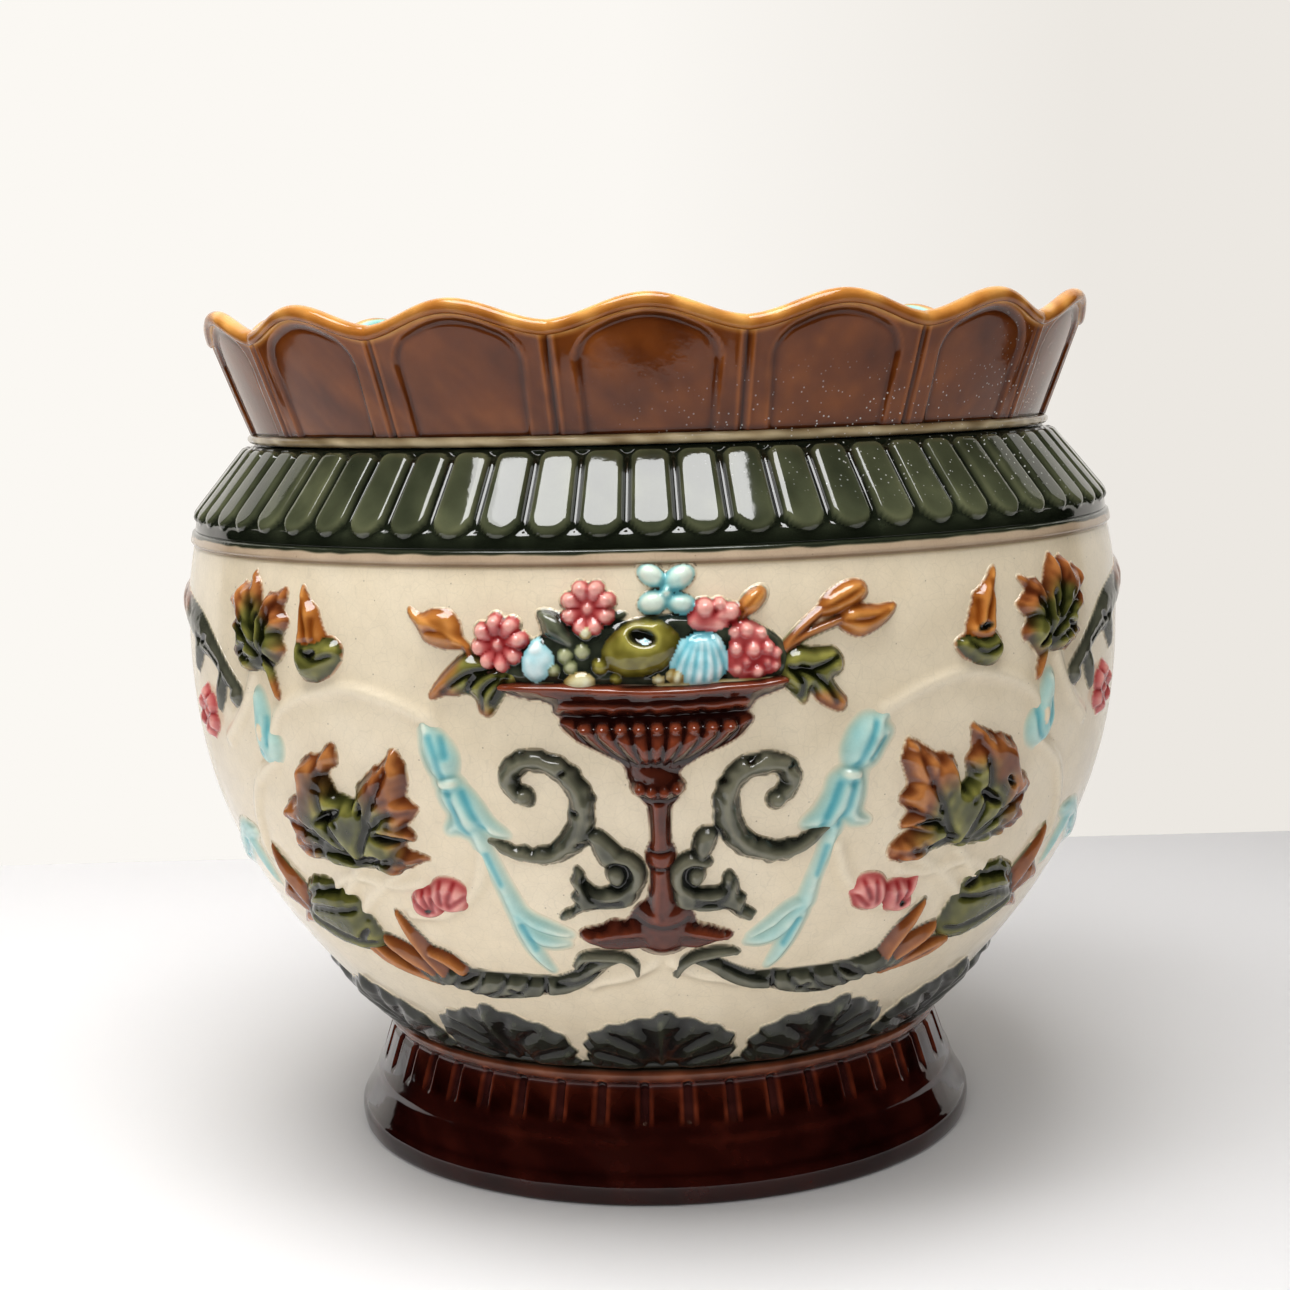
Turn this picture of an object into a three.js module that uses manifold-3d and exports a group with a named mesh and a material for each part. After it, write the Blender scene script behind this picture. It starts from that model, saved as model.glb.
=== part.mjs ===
// A relief-moulded, majolica-glazed jardiniere on its own spreading foot.
//
// The clay is built up from the foot: foot ring, bowl, gadrooned shoulder, neck bead and scalloped
// rim are stacked and luted at flat seams, and the ornament is a set of press-moulded sprigs luted
// to the outside of the bowl. Millimetres, +Z up, origin at the centre of the foot's resting plane.
// The tazza of the front face looks along -Y, and the back face is the same one turned half round.

import * as THREE from "three";
import { mergeVertices } from "three/addons/utils/BufferGeometryUtils.js";
import Module from "manifold-3d";

const wasm = await Module();
wasm.setup();

// ---------------------------------------------------------------- driving dimensions

const wall = 8; // fired clay, measured square to the surface
const slipGap = 0.3; // slip that holds a sprig to the wall
const layerStep = 0.15; // each layer of a built-up sprig starts this much further off the wall

const bowlHeight = 191;
const bowlBaseRadius = 107.5;
const bellyRadius = 180; // the widest part of the bowl
const bellyDrop = 36.5; // from the bowl's top down to its widest part
const bellyFullness = 2.39; // how quickly the wall swells out from the base
const bowlTopInset = 4.5; // how far the wall has come in again at its top
const bowlFloor = 9;
const ledgeHeight = 4.5; // plain moulding round the bowl's top
const ledgeDepth = 1.5;
const bowlFacets = 40;

const footHeight = 47;
const footSpread = 14.5; // beyond the bowl's base, at the bottom band
const footBandHeight = 9.5;
const footBandInset = 1.6; // from the band in to the slope over it
const footToe = 0.8; // how far the band draws in at the floor
const footRestWidth = 10; // flat ring that meets the floor
const footWaistProud = 1; // the fluted waist, beyond the bowl's base
const footWaistLean = 4.5; // how far the flutes lean out from head to foot
const footSlopeFall = 0.85;
const footBeadHeight = 6;
const footBeadProud = 2.8; // beyond the bowl's base
const fluteCount = 44;
const fluteWidth = 4.4;
const fluteHeight = 11.5;
const fluteDepth = 1.4;
const fluteMargin = 2.5; // from a flute's head up to the bead
const fluteLand = 1; // plain strip over and under a flute

const shoulderHeight = 32;
const shoulderSetback = 1; // in from the bowl's ledge
const neckInset = 22.2; // from the bowl's top in to the neck
const shoulderFall = 1.36;
const tongueCount = 66;
const tongueRelief = 1.7;
const tongueSill = 4.5; // plain strip under the tongues
const tongueCap = 3; // plain strip over them
const grooveWidth = 3; // between two tongues

const beadHeight = 3.5; // neck bead
const beadProud = 1.6;
const beadFacets = 40;

const rimHeight = 45; // to the crest of a scallop
const rimFlare = 17;
const rimEdge = 6; // thickness at the top
const scallopCount = 16;
const scallopDepth = 7; // from crest to dip
const lipHeight = 5;
const lipProud = 1.3;
const pierWidth = 21; // upright between two panels
const pierGroove = 3.5; // the upright's own middle groove
const pierGrooveDepth = 1.4;
const bevel = 1.6; // side of a panel
const panelRecess = 1.3;
const panelSill = 4.5;
const panelFrame = 3; // between the arch's crown and the lip
const archRise = 4.5;

const palmetteCount = 13;
const palmetteHeight = 40; // up the wall
const palmetteRelief = 2.4;
const palmetteSlip = 0.6; // a palmette is stiffer than a sprig, and beds on more slip
const palmetteGap = 5; // between two palmettes
const girdleHeight = 3.4; // plain line that the palmettes stand on
const girdleRelief = 1.4;

// The ornament is drawn on a wall of this size and stretched to the bowl's own.
const drawnGirth = 212;
const drawnRadius = 180;
const drawnUnit = 1; // real length of one unit of the drawings
const faceReach = 170.8; // across from a tazza's axis to where an end's ornament may begin
const endReach = 112; // across from an end's axis to the last station of its ornament, as drawn

// ---------------------------------------------------------------- sizes that follow

const bellyHeight = bowlHeight - bellyDrop;
const bowlTopRadius = bellyRadius - bowlTopInset;
const neckRadius = bowlTopRadius - neckInset;
const footRadius = bowlBaseRadius + footSpread;
const footWaist = bowlBaseRadius + footWaistProud;
const fluteHead = footHeight - footBeadHeight - fluteMargin;
const fluteFoot = fluteHead - fluteHeight;
const fluteLean = Math.atan(footWaistLean / (fluteHeight + 2 * fluteLand));

const shoulderLevel = footHeight + bowlHeight;
const beadLevel = shoulderLevel + shoulderHeight;
const rimLevel = beadLevel + beadHeight;

const TAU = Math.PI * 2;
const { lerp, degToRad } = THREE.MathUtils;

// ---------------------------------------------------------------- closed meshes and booleans

function geometryOf(positions, triangles) {
  const geometry = new THREE.BufferGeometry();
  geometry.setAttribute("position", new THREE.Float32BufferAttribute(positions, 3));
  geometry.setIndex(triangles);
  return geometry;
}

function solidOf(geometry) {
  const bare = geometry.clone();
  bare.deleteAttribute("normal");
  bare.deleteAttribute("uv");
  const merged = mergeVertices(bare, 1e-4);
  const vertProperties = new Float32Array(merged.attributes.position.array);
  const triVerts = new Uint32Array(merged.index.array);
  return new wasm.Manifold(new wasm.Mesh({ numProp: 3, vertProperties, triVerts }));
}

function geometryFrom(solid) {
  const mesh = solid.getMesh();
  return geometryOf(Array.from(mesh.vertProperties), Array.from(mesh.triVerts));
}

const fuse = (geometries) =>
  geometryFrom(geometries.map(solidOf).reduce((whole, next) => whole.add(next)));

const cut = (body, cutters) =>
  geometryFrom(solidOf(body).subtract(cutters.map(solidOf).reduce((all, next) => all.add(next))));

const evenAngles = (count) => Array.from({ length: count }, (_, i) => (i / count) * TAU);

// A ring whose section may change with the angle. section(angle) gives the same number of
// [radius, z] points each time, and they run up the outside and down the inside.
function ringSolid(angles, section) {
  const sections = angles.map(section);
  const rows = sections[0].length;
  const positions = sections.flatMap((points, column) =>
    points.flatMap(([radius, z]) => [
      radius * Math.sin(angles[column]),
      -radius * Math.cos(angles[column]),
      z,
    ]),
  );
  const triangles = [];
  for (let column = 0; column < angles.length; column++) {
    const next = (column + 1) % angles.length;
    for (let row = 0; row < rows; row++) {
      const up = (row + 1) % rows;
      const [a, b] = [column * rows + row, next * rows + row];
      const [c, d] = [next * rows + up, column * rows + up];
      triangles.push(a, b, c, a, c, d);
    }
  }
  return geometryOf(positions, triangles);
}

function lathe(profile, facets) {
  const points = profile.map(([radius, z]) => new THREE.Vector2(radius, z));
  return new THREE.LatheGeometry(points, facets).rotateX(Math.PI / 2);
}

// ---------------------------------------------------------------- foot

function footSection() {
  const bead = footHeight - footBeadHeight / 2;
  const slope = (share) => [
    lerp(footRadius - footBandInset, footWaist + footWaistLean, Math.pow(share, footSlopeFall)),
    lerp(footBandHeight + fluteLand, fluteFoot - fluteLand, share),
  ];
  const hollow = footWaist - wall;
  const restOuter = footRadius - footToe;
  return [
    [restOuter - footRestWidth, 0],
    [restOuter, 0],
    [footRadius, footBandHeight * 0.35],
    [footRadius, footBandHeight * 0.85],
    slope(0),
    slope(0.5),
    slope(1),
    [footWaist, fluteHead + fluteLand],
    [bowlBaseRadius + footBeadProud, bead],
    [bowlBaseRadius, footHeight],
    [hollow, footHeight],
  ];
}

// One flute: a narrow upright hollow with a pointed head, drawn down from that head and cut
// square into the leaning waist.
function fluteCutter(index) {
  const half = fluteWidth / 2;
  const shape = new THREE.Shape([
    new THREE.Vector2(-half, -fluteHeight),
    new THREE.Vector2(half, -fluteHeight),
    new THREE.Vector2(half, -half),
    new THREE.Vector2(0, 0),
    new THREE.Vector2(-half, -half),
  ]);
  const cutter = new THREE.ExtrudeGeometry(shape, { depth: wall, bevelEnabled: false });
  cutter.rotateX(Math.PI / 2 - fluteLean); // the drawing stands up, and its depth runs along -Y
  cutter.translate(0, fluteDepth - footWaist, fluteHead);
  return cutter.rotateZ(((index + 0.5) / fluteCount) * TAU);
}

function foot() {
  const cutters = Array.from({ length: fluteCount }, (_, i) => fluteCutter(i));
  return cut(ringSolid(evenAngles(fluteCount), footSection), cutters);
}

// ---------------------------------------------------------------- bowl

// Outer radius of the bowl at a height above its base.
function bowlRadius(height) {
  if (height <= bellyHeight) {
    const left = Math.pow(1 - height / bellyHeight, bellyFullness);
    return bellyRadius - (bellyRadius - bowlBaseRadius) * left;
  }
  return bellyRadius - bowlTopInset * Math.pow((height - bellyHeight) / bellyDrop, 2);
}

function bowl() {
  const ledgeFoot = bowlHeight - ledgeHeight;
  const levels = (from, to, count) =>
    Array.from({ length: count + 1 }, (_, i) => lerp(from, to, Math.pow(i / count, 1.2)));
  const outside = levels(0, ledgeFoot, 7).map((height) => [bowlRadius(height), height]);
  const inside = levels(bowlFloor + wall, bowlHeight, 4).map((height) => {
    const slope = bowlRadius(height + 0.5) - bowlRadius(height - 0.5); // over 1 mm
    return [bowlRadius(height) - wall * Math.hypot(1, slope), height];
  });
  return lathe(
    [
      [0, 0],
      ...outside,
      [bowlTopRadius + ledgeDepth, ledgeFoot + ledgeDepth],
      [bowlTopRadius + ledgeDepth, bowlHeight],
      ...inside.toReversed(),
      [bowlBaseRadius - 2 * wall, bowlFloor],
      [0, bowlFloor],
    ],
    bowlFacets,
  );
}

// ---------------------------------------------------------------- shoulder

function shoulderRadius(height) {
  const share = THREE.MathUtils.clamp(height / shoulderHeight, 0, 1);
  const base = bowlTopRadius + ledgeDepth - shoulderSetback;
  return lerp(neckRadius, base, Math.pow(Math.cos((share * Math.PI) / 2), shoulderFall));
}

// Each tongue has three columns: the bottom of the groove beside it, and its two edges.
function shoulder() {
  const pitch = TAU / tongueCount;
  const half = pitch / 2 - (grooveWidth * 0.75) / bowlTopRadius;
  const columns = evenAngles(tongueCount).flatMap((middle) => [
    { angle: middle - pitch / 2, proud: 0 },
    { angle: middle - half, proud: tongueRelief },
    { angle: middle + half, proud: tongueRelief },
  ]);
  const proudAt = new Map(columns.map(({ angle, proud }) => [angle, proud]));
  const head = shoulderHeight - tongueCap;
  const tongue = (share) => lerp(tongueSill, head, share);
  const inner = neckRadius - wall;
  const body = ringSolid([...proudAt.keys()], (angle) => {
    const proud = proudAt.get(angle);
    return [
      [shoulderRadius(0), 0],
      [shoulderRadius(tongueSill), tongueSill],
      [shoulderRadius(tongue(0.18)) + proud, tongue(0.18)],
      [shoulderRadius(tongue(0.94)) + proud, tongue(0.94)],
      [neckRadius, shoulderHeight],
      [inner - wall, shoulderHeight],
      [inner - wall, 0],
    ];
  });
  const lean = (bowlTopRadius - wall - inner) / shoulderHeight;
  const past = 2;
  const hollow = lathe(
    [
      [0, -past],
      [bowlTopRadius - wall + lean * past, -past],
      [inner - lean * past, shoulderHeight + past],
      [0, shoulderHeight + past],
    ],
    bowlFacets,
  );
  return cut(body, [hollow]);
}

// ---------------------------------------------------------------- neck bead

function neckBead() {
  const section = [
    [neckRadius - wall, 0],
    [neckRadius, 0],
    [neckRadius + beadProud, beadHeight * 0.5],
    [neckRadius, beadHeight],
    [neckRadius - wall, beadHeight],
  ];
  return ringSolid(evenAngles(beadFacets), () => section);
}

// ---------------------------------------------------------------- rim

const rimRadius = (height) => neckRadius + (rimFlare * height) / rimHeight;

// One scallop's columns, by their distance round the neck from its middle. panel is how deep the
// column lies in the sunk panel, and groove how deep it lies in the upright's groove, both 0 to 1.
function scallopColumns(halfPitch) {
  const panelEdge = halfPitch - pierWidth / 2;
  const side = [
    { aside: halfPitch - pierGroove / 2, panel: 0, groove: 0 },
    { aside: panelEdge + bevel, panel: 0, groove: 0 },
    { aside: panelEdge, panel: 1, groove: 0 },
    { aside: panelEdge / 2, panel: 1, groove: 0 },
  ];
  return [
    { aside: -halfPitch, panel: 0, groove: 1 },
    ...side.map((column) => ({ ...column, aside: -column.aside })),
    { aside: 0, panel: 1, groove: 0 },
    ...side.toReversed(),
  ].map((column) => ({ ...column, halfPitch, panelEdge }));
}

function rimSection({ aside, panel, groove, halfPitch, panelEdge }) {
  const swing = Math.cos(((Math.abs(aside) / halfPitch) * Math.PI) / 2);
  const edge = rimHeight - scallopDepth * (1 - Math.pow(swing, 1.3));
  const lipFoot = edge - lipHeight;
  const arch = lipFoot - panelFrame - archRise * panel * Math.pow(aside / panelEdge, 2);
  const sunk = groove * pierGrooveDepth;
  const recess = sunk + panel * panelRecess;
  const at = (height, depth) => [rimRadius(height) - depth, height];
  return [
    [neckRadius, 0],
    at(panelSill, recess),
    at(arch - bevel, recess),
    at(arch, sunk),
    [rimRadius(edge) + lipProud - sunk, lerp(lipFoot, edge, 0.35)],
    at(edge, sunk),
    at(edge, rimEdge),
    [neckRadius - wall, 0],
  ];
}

function rim() {
  const columns = scallopColumns((TAU * neckRadius) / scallopCount / 2);
  const byAngle = new Map();
  for (const middle of evenAngles(scallopCount))
    for (const column of columns) byAngle.set(middle + column.aside / neckRadius, column);
  return ringSolid([...byAngle.keys()], (angle) => rimSection(byAngle.get(angle)));
}

// ---------------------------------------------------------------- places on the bowl's wall

// The wall as a table of girth, which is length up the wall.
const wallTable = [{ girth: 0, height: 0, radius: bowlBaseRadius }];
for (let step = 1, steps = 200; step <= steps; step++) {
  const last = wallTable[step - 1];
  const height = (step / steps) * bowlHeight;
  const radius = bowlRadius(height);
  const girth = last.girth + Math.hypot(height - last.height, radius - last.radius);
  wallTable.push({ girth, height, radius });
}
const wallGirth = wallTable.at(-1).girth;

// The radius and height of a point a given girth up the wall and a given distance off it.
function offWall(girth, lift) {
  const found = wallTable.findIndex((row) => row.girth >= girth);
  const upper = found < 0 ? wallTable.length - 1 : Math.max(found, 1);
  const [a, b] = [wallTable[upper - 1], wallTable[upper]];
  const along = (girth - a.girth) / (b.girth - a.girth);
  const length = b.girth - a.girth;
  const radius = lerp(a.radius, b.radius, along) + (lift * (b.height - a.height)) / length;
  const height = lerp(a.height, b.height, along) - (lift * (b.radius - a.radius)) / length;
  return [radius, height];
}

// A drawing's point on the bowl: across from the motif's upright axis and up from the bowl's base.
function onBowl(across, up, lift) {
  const [radius, height] = offWall(((up * drawnUnit) / drawnGirth) * wallGirth, lift);
  const angle = (across * drawnUnit) / drawnRadius;
  return [radius * Math.sin(angle), -radius * Math.cos(angle), height];
}

// ---------------------------------------------------------------- sprig shapes

// Points drawn wider or narrower; a negative stretch gives their mirror image, run the other way
// so that its faces still point out.
function stretched(points, stretch) {
  const moved = points.map(([across, ...rest]) => [across * stretch, ...rest]);
  return stretch > 0 ? moved : moved.toReversed();
}

// An oval that may be pointed at its ends, taper along its length or be cut into lobes.
function leafOutline({ at, size, tilt = 0, points = 7, pointed = 0, taper = 0, lobes = 0, notch = 0.3 }) {
  const pointsPerLobe = 4;
  const count = lobes ? lobes * pointsPerLobe : points;
  const turn = degToRad(tilt);
  return Array.from({ length: count }, (_, i) => {
    const angle = (i / count) * TAU;
    const lobe = lobes ? 1 - 2 * notch * (1 - Math.abs(Math.cos((lobes * angle) / 2))) : 1;
    const fullness = Math.pow(Math.abs(Math.sin(angle)), pointed) * (1 - taper * Math.cos(angle));
    const along = size[0] * lobe * Math.cos(angle);
    const aside = size[1] * lobe * Math.sin(angle) * fullness;
    return [
      at[0] + along * Math.cos(turn) - aside * Math.sin(turn),
      at[1] + along * Math.sin(turn) + aside * Math.cos(turn),
    ];
  });
}

// In the drawings, a back this far across, or a step this long, still lies close to the wall.
const narrow = 14;
const longestStep = 16;

// A domed piece: thin at its outline and full in the middle, with a back that follows the wall.
function dome(piece, back, stretch) {
  const points = stretched(leafOutline(piece), stretch);
  const count = points.length;
  const relief = piece.height * drawnUnit;
  const middle = [stretch * piece.at[0], piece.at[1]];
  const reach = Math.max(...points.map(([x, y]) => Math.hypot(x - middle[0], y - middle[1])));
  const ring = (share, lift) =>
    points.flatMap(([x, y]) => onBowl(lerp(middle[0], x, share), lerp(middle[1], y, share), lift));
  const positions = [
    ...onBowl(...middle, back + relief),
    ...onBowl(...middle, back),
    ...ring(1, back),
    ...ring(0.62, back + relief * 0.85),
  ];
  const [top, bottom, edge, crown, inner] = [0, 1, 2, 2 + count, 2 + 2 * count];
  const curvedBack = reach > narrow;
  if (curvedBack) positions.push(...ring(0.55, back));
  const triangles = [];
  for (let i = 0; i < count; i++) {
    const j = (i + 1) % count;
    triangles.push(edge + i, edge + j, crown + j, edge + i, crown + j, crown + i);
    triangles.push(crown + i, crown + j, top);
    if (curvedBack) {
      triangles.push(edge + j, edge + i, inner + i, edge + j, inner + i, inner + j);
      triangles.push(inner + j, inner + i, bottom);
    } else triangles.push(edge + j, edge + i, bottom);
  }
  return geometryOf(positions, triangles);
}

// A piece drawn out along a smooth line through [across, up, half width] stations, with a ridge
// down its middle. steps counts its facets along the line, a whole number for each span between
// two stations; without it they are evenly spaced.
function strap({ stations, height, steps }, back, stretch) {
  const line = stretched(stations, stretch).map((station) => new THREE.Vector3(...station));
  const path = new THREE.CatmullRomCurve3(line, false, "centripetal");
  const evenSteps = Math.ceil(path.getLength() / longestStep);
  const count = steps ?? Math.max(Math.round(stations.length * 1.3), evenSteps);
  const widest = Math.max(...stations.map(([, , half]) => half));
  const positions = [];
  for (let i = 0; i <= count; i++) {
    const share = i / count;
    const { x, y, z: half } = steps ? path.getPoint(share) : path.getPointAt(share);
    const ahead = steps ? path.getTangent(share) : path.getTangentAt(share);
    const unit = Math.hypot(ahead.x, ahead.y);
    const side = [(-ahead.y / unit) * half, (ahead.x / unit) * half];
    positions.push(...onBowl(x + side[0], y + side[1], back));
    positions.push(...onBowl(x - side[0], y - side[1], back));
    positions.push(...onBowl(x, y, back + height * drawnUnit * Math.sqrt(half / widest)));
  }
  const triangles = [];
  for (let i = 0; i < count; i++)
    for (let k = 0; k < 3; k++) {
      const [a, b] = [i * 3 + k, i * 3 + ((k + 1) % 3)];
      triangles.push(a, a + 3, b + 3, a, b + 3, b);
    }
  const end = count * 3;
  triangles.push(0, 1, 2, end, end + 2, end + 1);
  return geometryOf(positions, triangles);
}

const layersApart = 5; // after so many layers the backs start at the slip again

// A scroll: stations on a spiral that opens from its eye and thins to a tail.
function scroll({ eye, reach, from, to, half, points = 8 }) {
  return Array.from({ length: points }, (_, i) => {
    const share = (i + 0.6) / (points - 0.4);
    const radius = reach * (1 - Math.exp(-7 * share));
    const angle = degToRad(lerp(from, to, share));
    const width = half * Math.pow(Math.sin(Math.PI * lerp(0.25, 0.98, share)), 0.6);
    return [eye[0] + radius * Math.cos(angle), eye[1] + radius * Math.sin(angle), width];
  });
}

// stretch widens the drawing, and mirrors it where it is negative.
function sprig(pieces, stretch = 1) {
  const layers = pieces.map((piece, layer) => {
    const back = slipGap + (layer % layersApart) * layerStep;
    return (piece.stations ? strap : dome)(piece, back, stretch);
  });
  return layers.length > 1 ? fuse(layers) : layers[0];
}

// ---------------------------------------------------------------- the tazza face
// Every piece is drawn in millimetres as [across, up] from the tazza's axis and the bowl's base.
// Of a pair, the right-hand piece is drawn and the left-hand one is its mirror image.

const tazza = [
  { at: [-2, 156], size: [29, 13], points: 10, height: 4.6 },
  {
    stations: [[-46, 168.4, 0.9], [-33, 166.4, 3.4], [-3, 165.6, 4.2], [27, 166.4, 3.4], [41, 168.4, 0.9]],
    height: 3.4,
  },
  {
    stations: [
      ...[[0, 148, 10], [0, 141, 6], [0, 137, 9], [0, 132, 5.4]], // collar
      ...[[0, 115, 4.2], [0, 111.6, 6], [0, 107, 4.4]], // knop
      ...[[0, 90, 7.5], [0, 80, 15]],
    ],
    height: 4.4,
    steps: 8,
  },
  {
    stations: [[-29, 76, 1.6], [-15, 79.6, 3.6], [0, 81, 4.4], [14, 79.6, 3.6], [26, 76, 1.6]],
    height: 2.6,
  },
];

const fruitCluster = [
  { stations: [[-47, 181, 4], [-22, 181, 7], [12, 181, 7.4], [38, 178, 5]], height: 2.2 },
  { at: [-4, 180.6], size: [11, 8.8], tilt: 10, height: 6, points: 8 }, // apple
  { at: [15.5, 178.6], size: [9.6, 7.6], tilt: -15, height: 5 }, // melon
  { at: [-33, 177.4], size: [7, 5.4], tilt: -20, height: 4.4, points: 6 }, // plum
  { at: [-47.6, 182.8], size: [9, 9], points: 8, height: 4 }, // flowers
  { at: [-18.5, 191.6], size: [8.8, 8.8], points: 8, height: 4 },
  { at: [4.6, 194.6], size: [9.4, 9], height: 3 },
  { at: [30.6, 183.4], size: [6.6, 5.4], tilt: -40, height: 4.2, points: 6 }, // grapes
  { at: [33, 175.4], size: [8.4, 4.8], height: 4.4, points: 6 },
  { stations: [[22, 184, 3], [28, 191.6, 2.4], [34.6, 198.6, 0.9]], height: 2.4, steps: 3 }, // bud
];

const ochreSprigLeft = [
  { at: [-60.6, 168.6], size: [15, 9.6], lobes: 4, tilt: 12, notch: 0.2, height: 2.8 },
  {
    stations: [[-61, 172, 1.8], [-61.4, 183, 1.8], [-68, 187.4, 4.6], [-80, 193.4, 0.9]],
    height: 2.2,
  },
];
const ochreSprigRight = [
  { at: [52, 168.6], size: [12.4, 10.6], lobes: 3, tilt: 55, notch: 0.2, height: 2.8 },
  {
    stations: [[48.6, 172, 1.6], [49.6, 183.4, 1.6], [59, 192.6, 4], [69.6, 198, 1]],
    height: 2.2,
  },
  {
    stations: [[53, 174, 1.6], [58, 184, 1.8], [71, 186.6, 4.4], [80, 189.4, 1]],
    height: 2.4,
  },
];

const pairs = {
  grey_scroll: [
    { stations: scroll({ eye: [42, 128], reach: 16.6, from: 50, to: 322, half: 4 }), height: 3 },
    {
      stations: [
        ...[[27, 118.6, 2.4], [19.4, 115.6, 3.4], [13, 106, 3]], // bud and curl of the acanthus
        ...[[15, 97, 3.6], [25, 92.4, 3.6], [36, 86.6, 0.9]],
      ],
      height: 3,
    },
    { stations: [[19.4, 95, 2.8], [25, 101, 2.6], [26, 107, 0.9]], height: 2.2, steps: 3 },
  ],
  ribbon: [
    {
      stations: [
        ...[[76.4, 157, 3], [71.8, 147.6, 7.4], [66.6, 138, 3]], // bulb and knot
        ...[[63, 128, 9.4], [60.4, 115, 2.4], [57.4, 98, 3]],
        ...[[52, 84, 4.4], [45, 64, 0.9]],
      ],
      height: 3,
      steps: 14,
    },
    { stations: [[53.6, 84, 2.8], [45, 78.4, 2.6], [36, 77, 0.9]], height: 1.6, steps: 2 },
  ],
  vine_leaf: [{ at: [114, 124], size: [34, 25], lobes: 5, tilt: 143, notch: 0.2, height: 4 }],
  pink_bloom: [
    { at: [79, 93.4], size: [8.4, 6], tilt: -20, height: 3 },
    { at: [92, 89.6], size: [8.2, 5.8], tilt: 15, height: 3 },
  ],
  festoon: [
    {
      stations: [
        ...[[7.6, 60.6, 1.2], [11.6, 67.4, 2.4], [20, 67.8, 2.8]], // hook
        ...[[38, 56.4, 4.4], [55, 53.6, 5.8], [76, 53.6, 6.8]],
        ...[[102, 57.6, 4.8], [128, 61, 1.2]],
      ],
      height: 3.4,
      steps: 14,
    },
    { stations: [[100, 58.6, 3.6], [103.6, 70, 3.8], [107, 82, 0.9]], height: 2.4, steps: 2 },
    { stations: [[107, 60, 4], [113.4, 65.4, 3.6], [118.6, 70, 1]], height: 2.2, steps: 2 },
  ],
  green_bud: [
    { at: [143, 78], size: [20.6, 15.8], points: 9, height: 4.2 },
    { stations: [[156, 80, 5], [165, 88, 5.4], [168.6, 101, 0.9]], height: 2.4, steps: 2 },
    { stations: [[158, 76, 5], [174, 83, 4.4], [186, 72, 0.9]], height: 2.2, steps: 2 },
  ],
  top_leaf: [{ at: [157, 184], size: [22, 16.4], lobes: 5, tilt: 15, notch: 0.18, height: 3.4 }],
  top_bud: [
    { at: [117, 183.6], size: [17, 7.6], tilt: 62, taper: 0.25, pointed: 0.3, points: 8, height: 3 },
  ],
  ribbon_drop: [{ at: [150, 150], size: [13, 8.6], tilt: 96, taper: 0.3, height: 1.8 }],
};

// ---------------------------------------------------------------- the two ends
// Between the tazza faces, drawn from the end's own upright axis. One half is given, and the
// stations of a piece that crosses the axis run from there outwards.

// An end's drawing is fitted across to the room that the tazza faces leave for it.
const endStretch = ((Math.PI / 2) * drawnRadius - faceReach * drawnUnit) / (endReach * drawnUnit);

const acrossAxis = ([first, ...others]) => [...stretched(others, -1), first, ...others];
const onBothSides = ({ stations, ...rest }) => [
  { stations, ...rest },
  { stations: stretched(stations, -1), ...rest },
];

const endArch = [
  {
    stations: acrossAxis([
      ...[[0, 189, 4.6], [46, 185.4, 4.6], [78, 179, 6.6]],
      ...[[100, 168, 3.4], [endReach, 160, 3]],
    ]),
    height: 1.9,
  },
  ...onBothSides({ stations: [[80, 178, 4.6], [73, 172, 4.6], [69.6, 164.6, 1]], height: 1.7, steps: 2 }),
  ...onBothSides({ stations: [[101, 166, 2.4], [97, 159, 3.2], [94.6, 153, 1]], height: 1.6, steps: 2 }),
];
const endSwag = [
  { stations: acrossAxis([[0, 83, 5.4], [46, 87, 5], [84, 103, 5], [97, 106, 1.2]]), height: 1.4 },
  ...onBothSides({ stations: [[87, 101, 3.6], [91, 93, 3.2], [94, 84, 0.9]], height: 1.3, steps: 2 }),
];
const endBloom = [{ at: [80.6, 149.6], size: [9.6, 9], points: 8, height: 2.4 }];

// ---------------------------------------------------------------- palmettes

// A girdle round the foot of the bowl that rises into a rounded palmette at every pitch.
function palmetteBand() {
  const halfPitch = TAU / palmetteCount / 2;
  const halfWidth = halfPitch - palmetteGap / 2 / bowlBaseRadius;
  const shares = [-1, -0.95, -0.6, 0, 0.6, 0.95, 1];
  const shareAt = new Map(
    evenAngles(palmetteCount).flatMap((middle) => shares.map((share) => [middle + halfWidth * share, share])),
  );
  const sill = girdleHeight * 0.5;
  return ringSolid([...shareAt.keys()], (angle) => {
    const bulge = Math.sqrt(1 - shareAt.get(angle) ** 2);
    const top = sill + lerp(girdleHeight, palmetteHeight, Math.pow(bulge, 0.7));
    const relief = lerp(girdleRelief, palmetteRelief, bulge);
    return [
      offWall(sill, palmetteSlip),
      offWall(sill, palmetteSlip + girdleRelief),
      offWall(lerp(sill, top, 0.8), palmetteSlip + relief),
      offWall(top, palmetteSlip),
      offWall(lerp(sill, top, 0.5), palmetteSlip),
    ];
  });
}

// ---------------------------------------------------------------- assembly

function piece(name, geometry, color, roughness = 0.12) {
  const material = new THREE.MeshStandardMaterial({ color, roughness, metalness: 0 });
  const mesh = new THREE.Mesh(geometry, material);
  mesh.name = name;
  return mesh;
}

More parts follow.
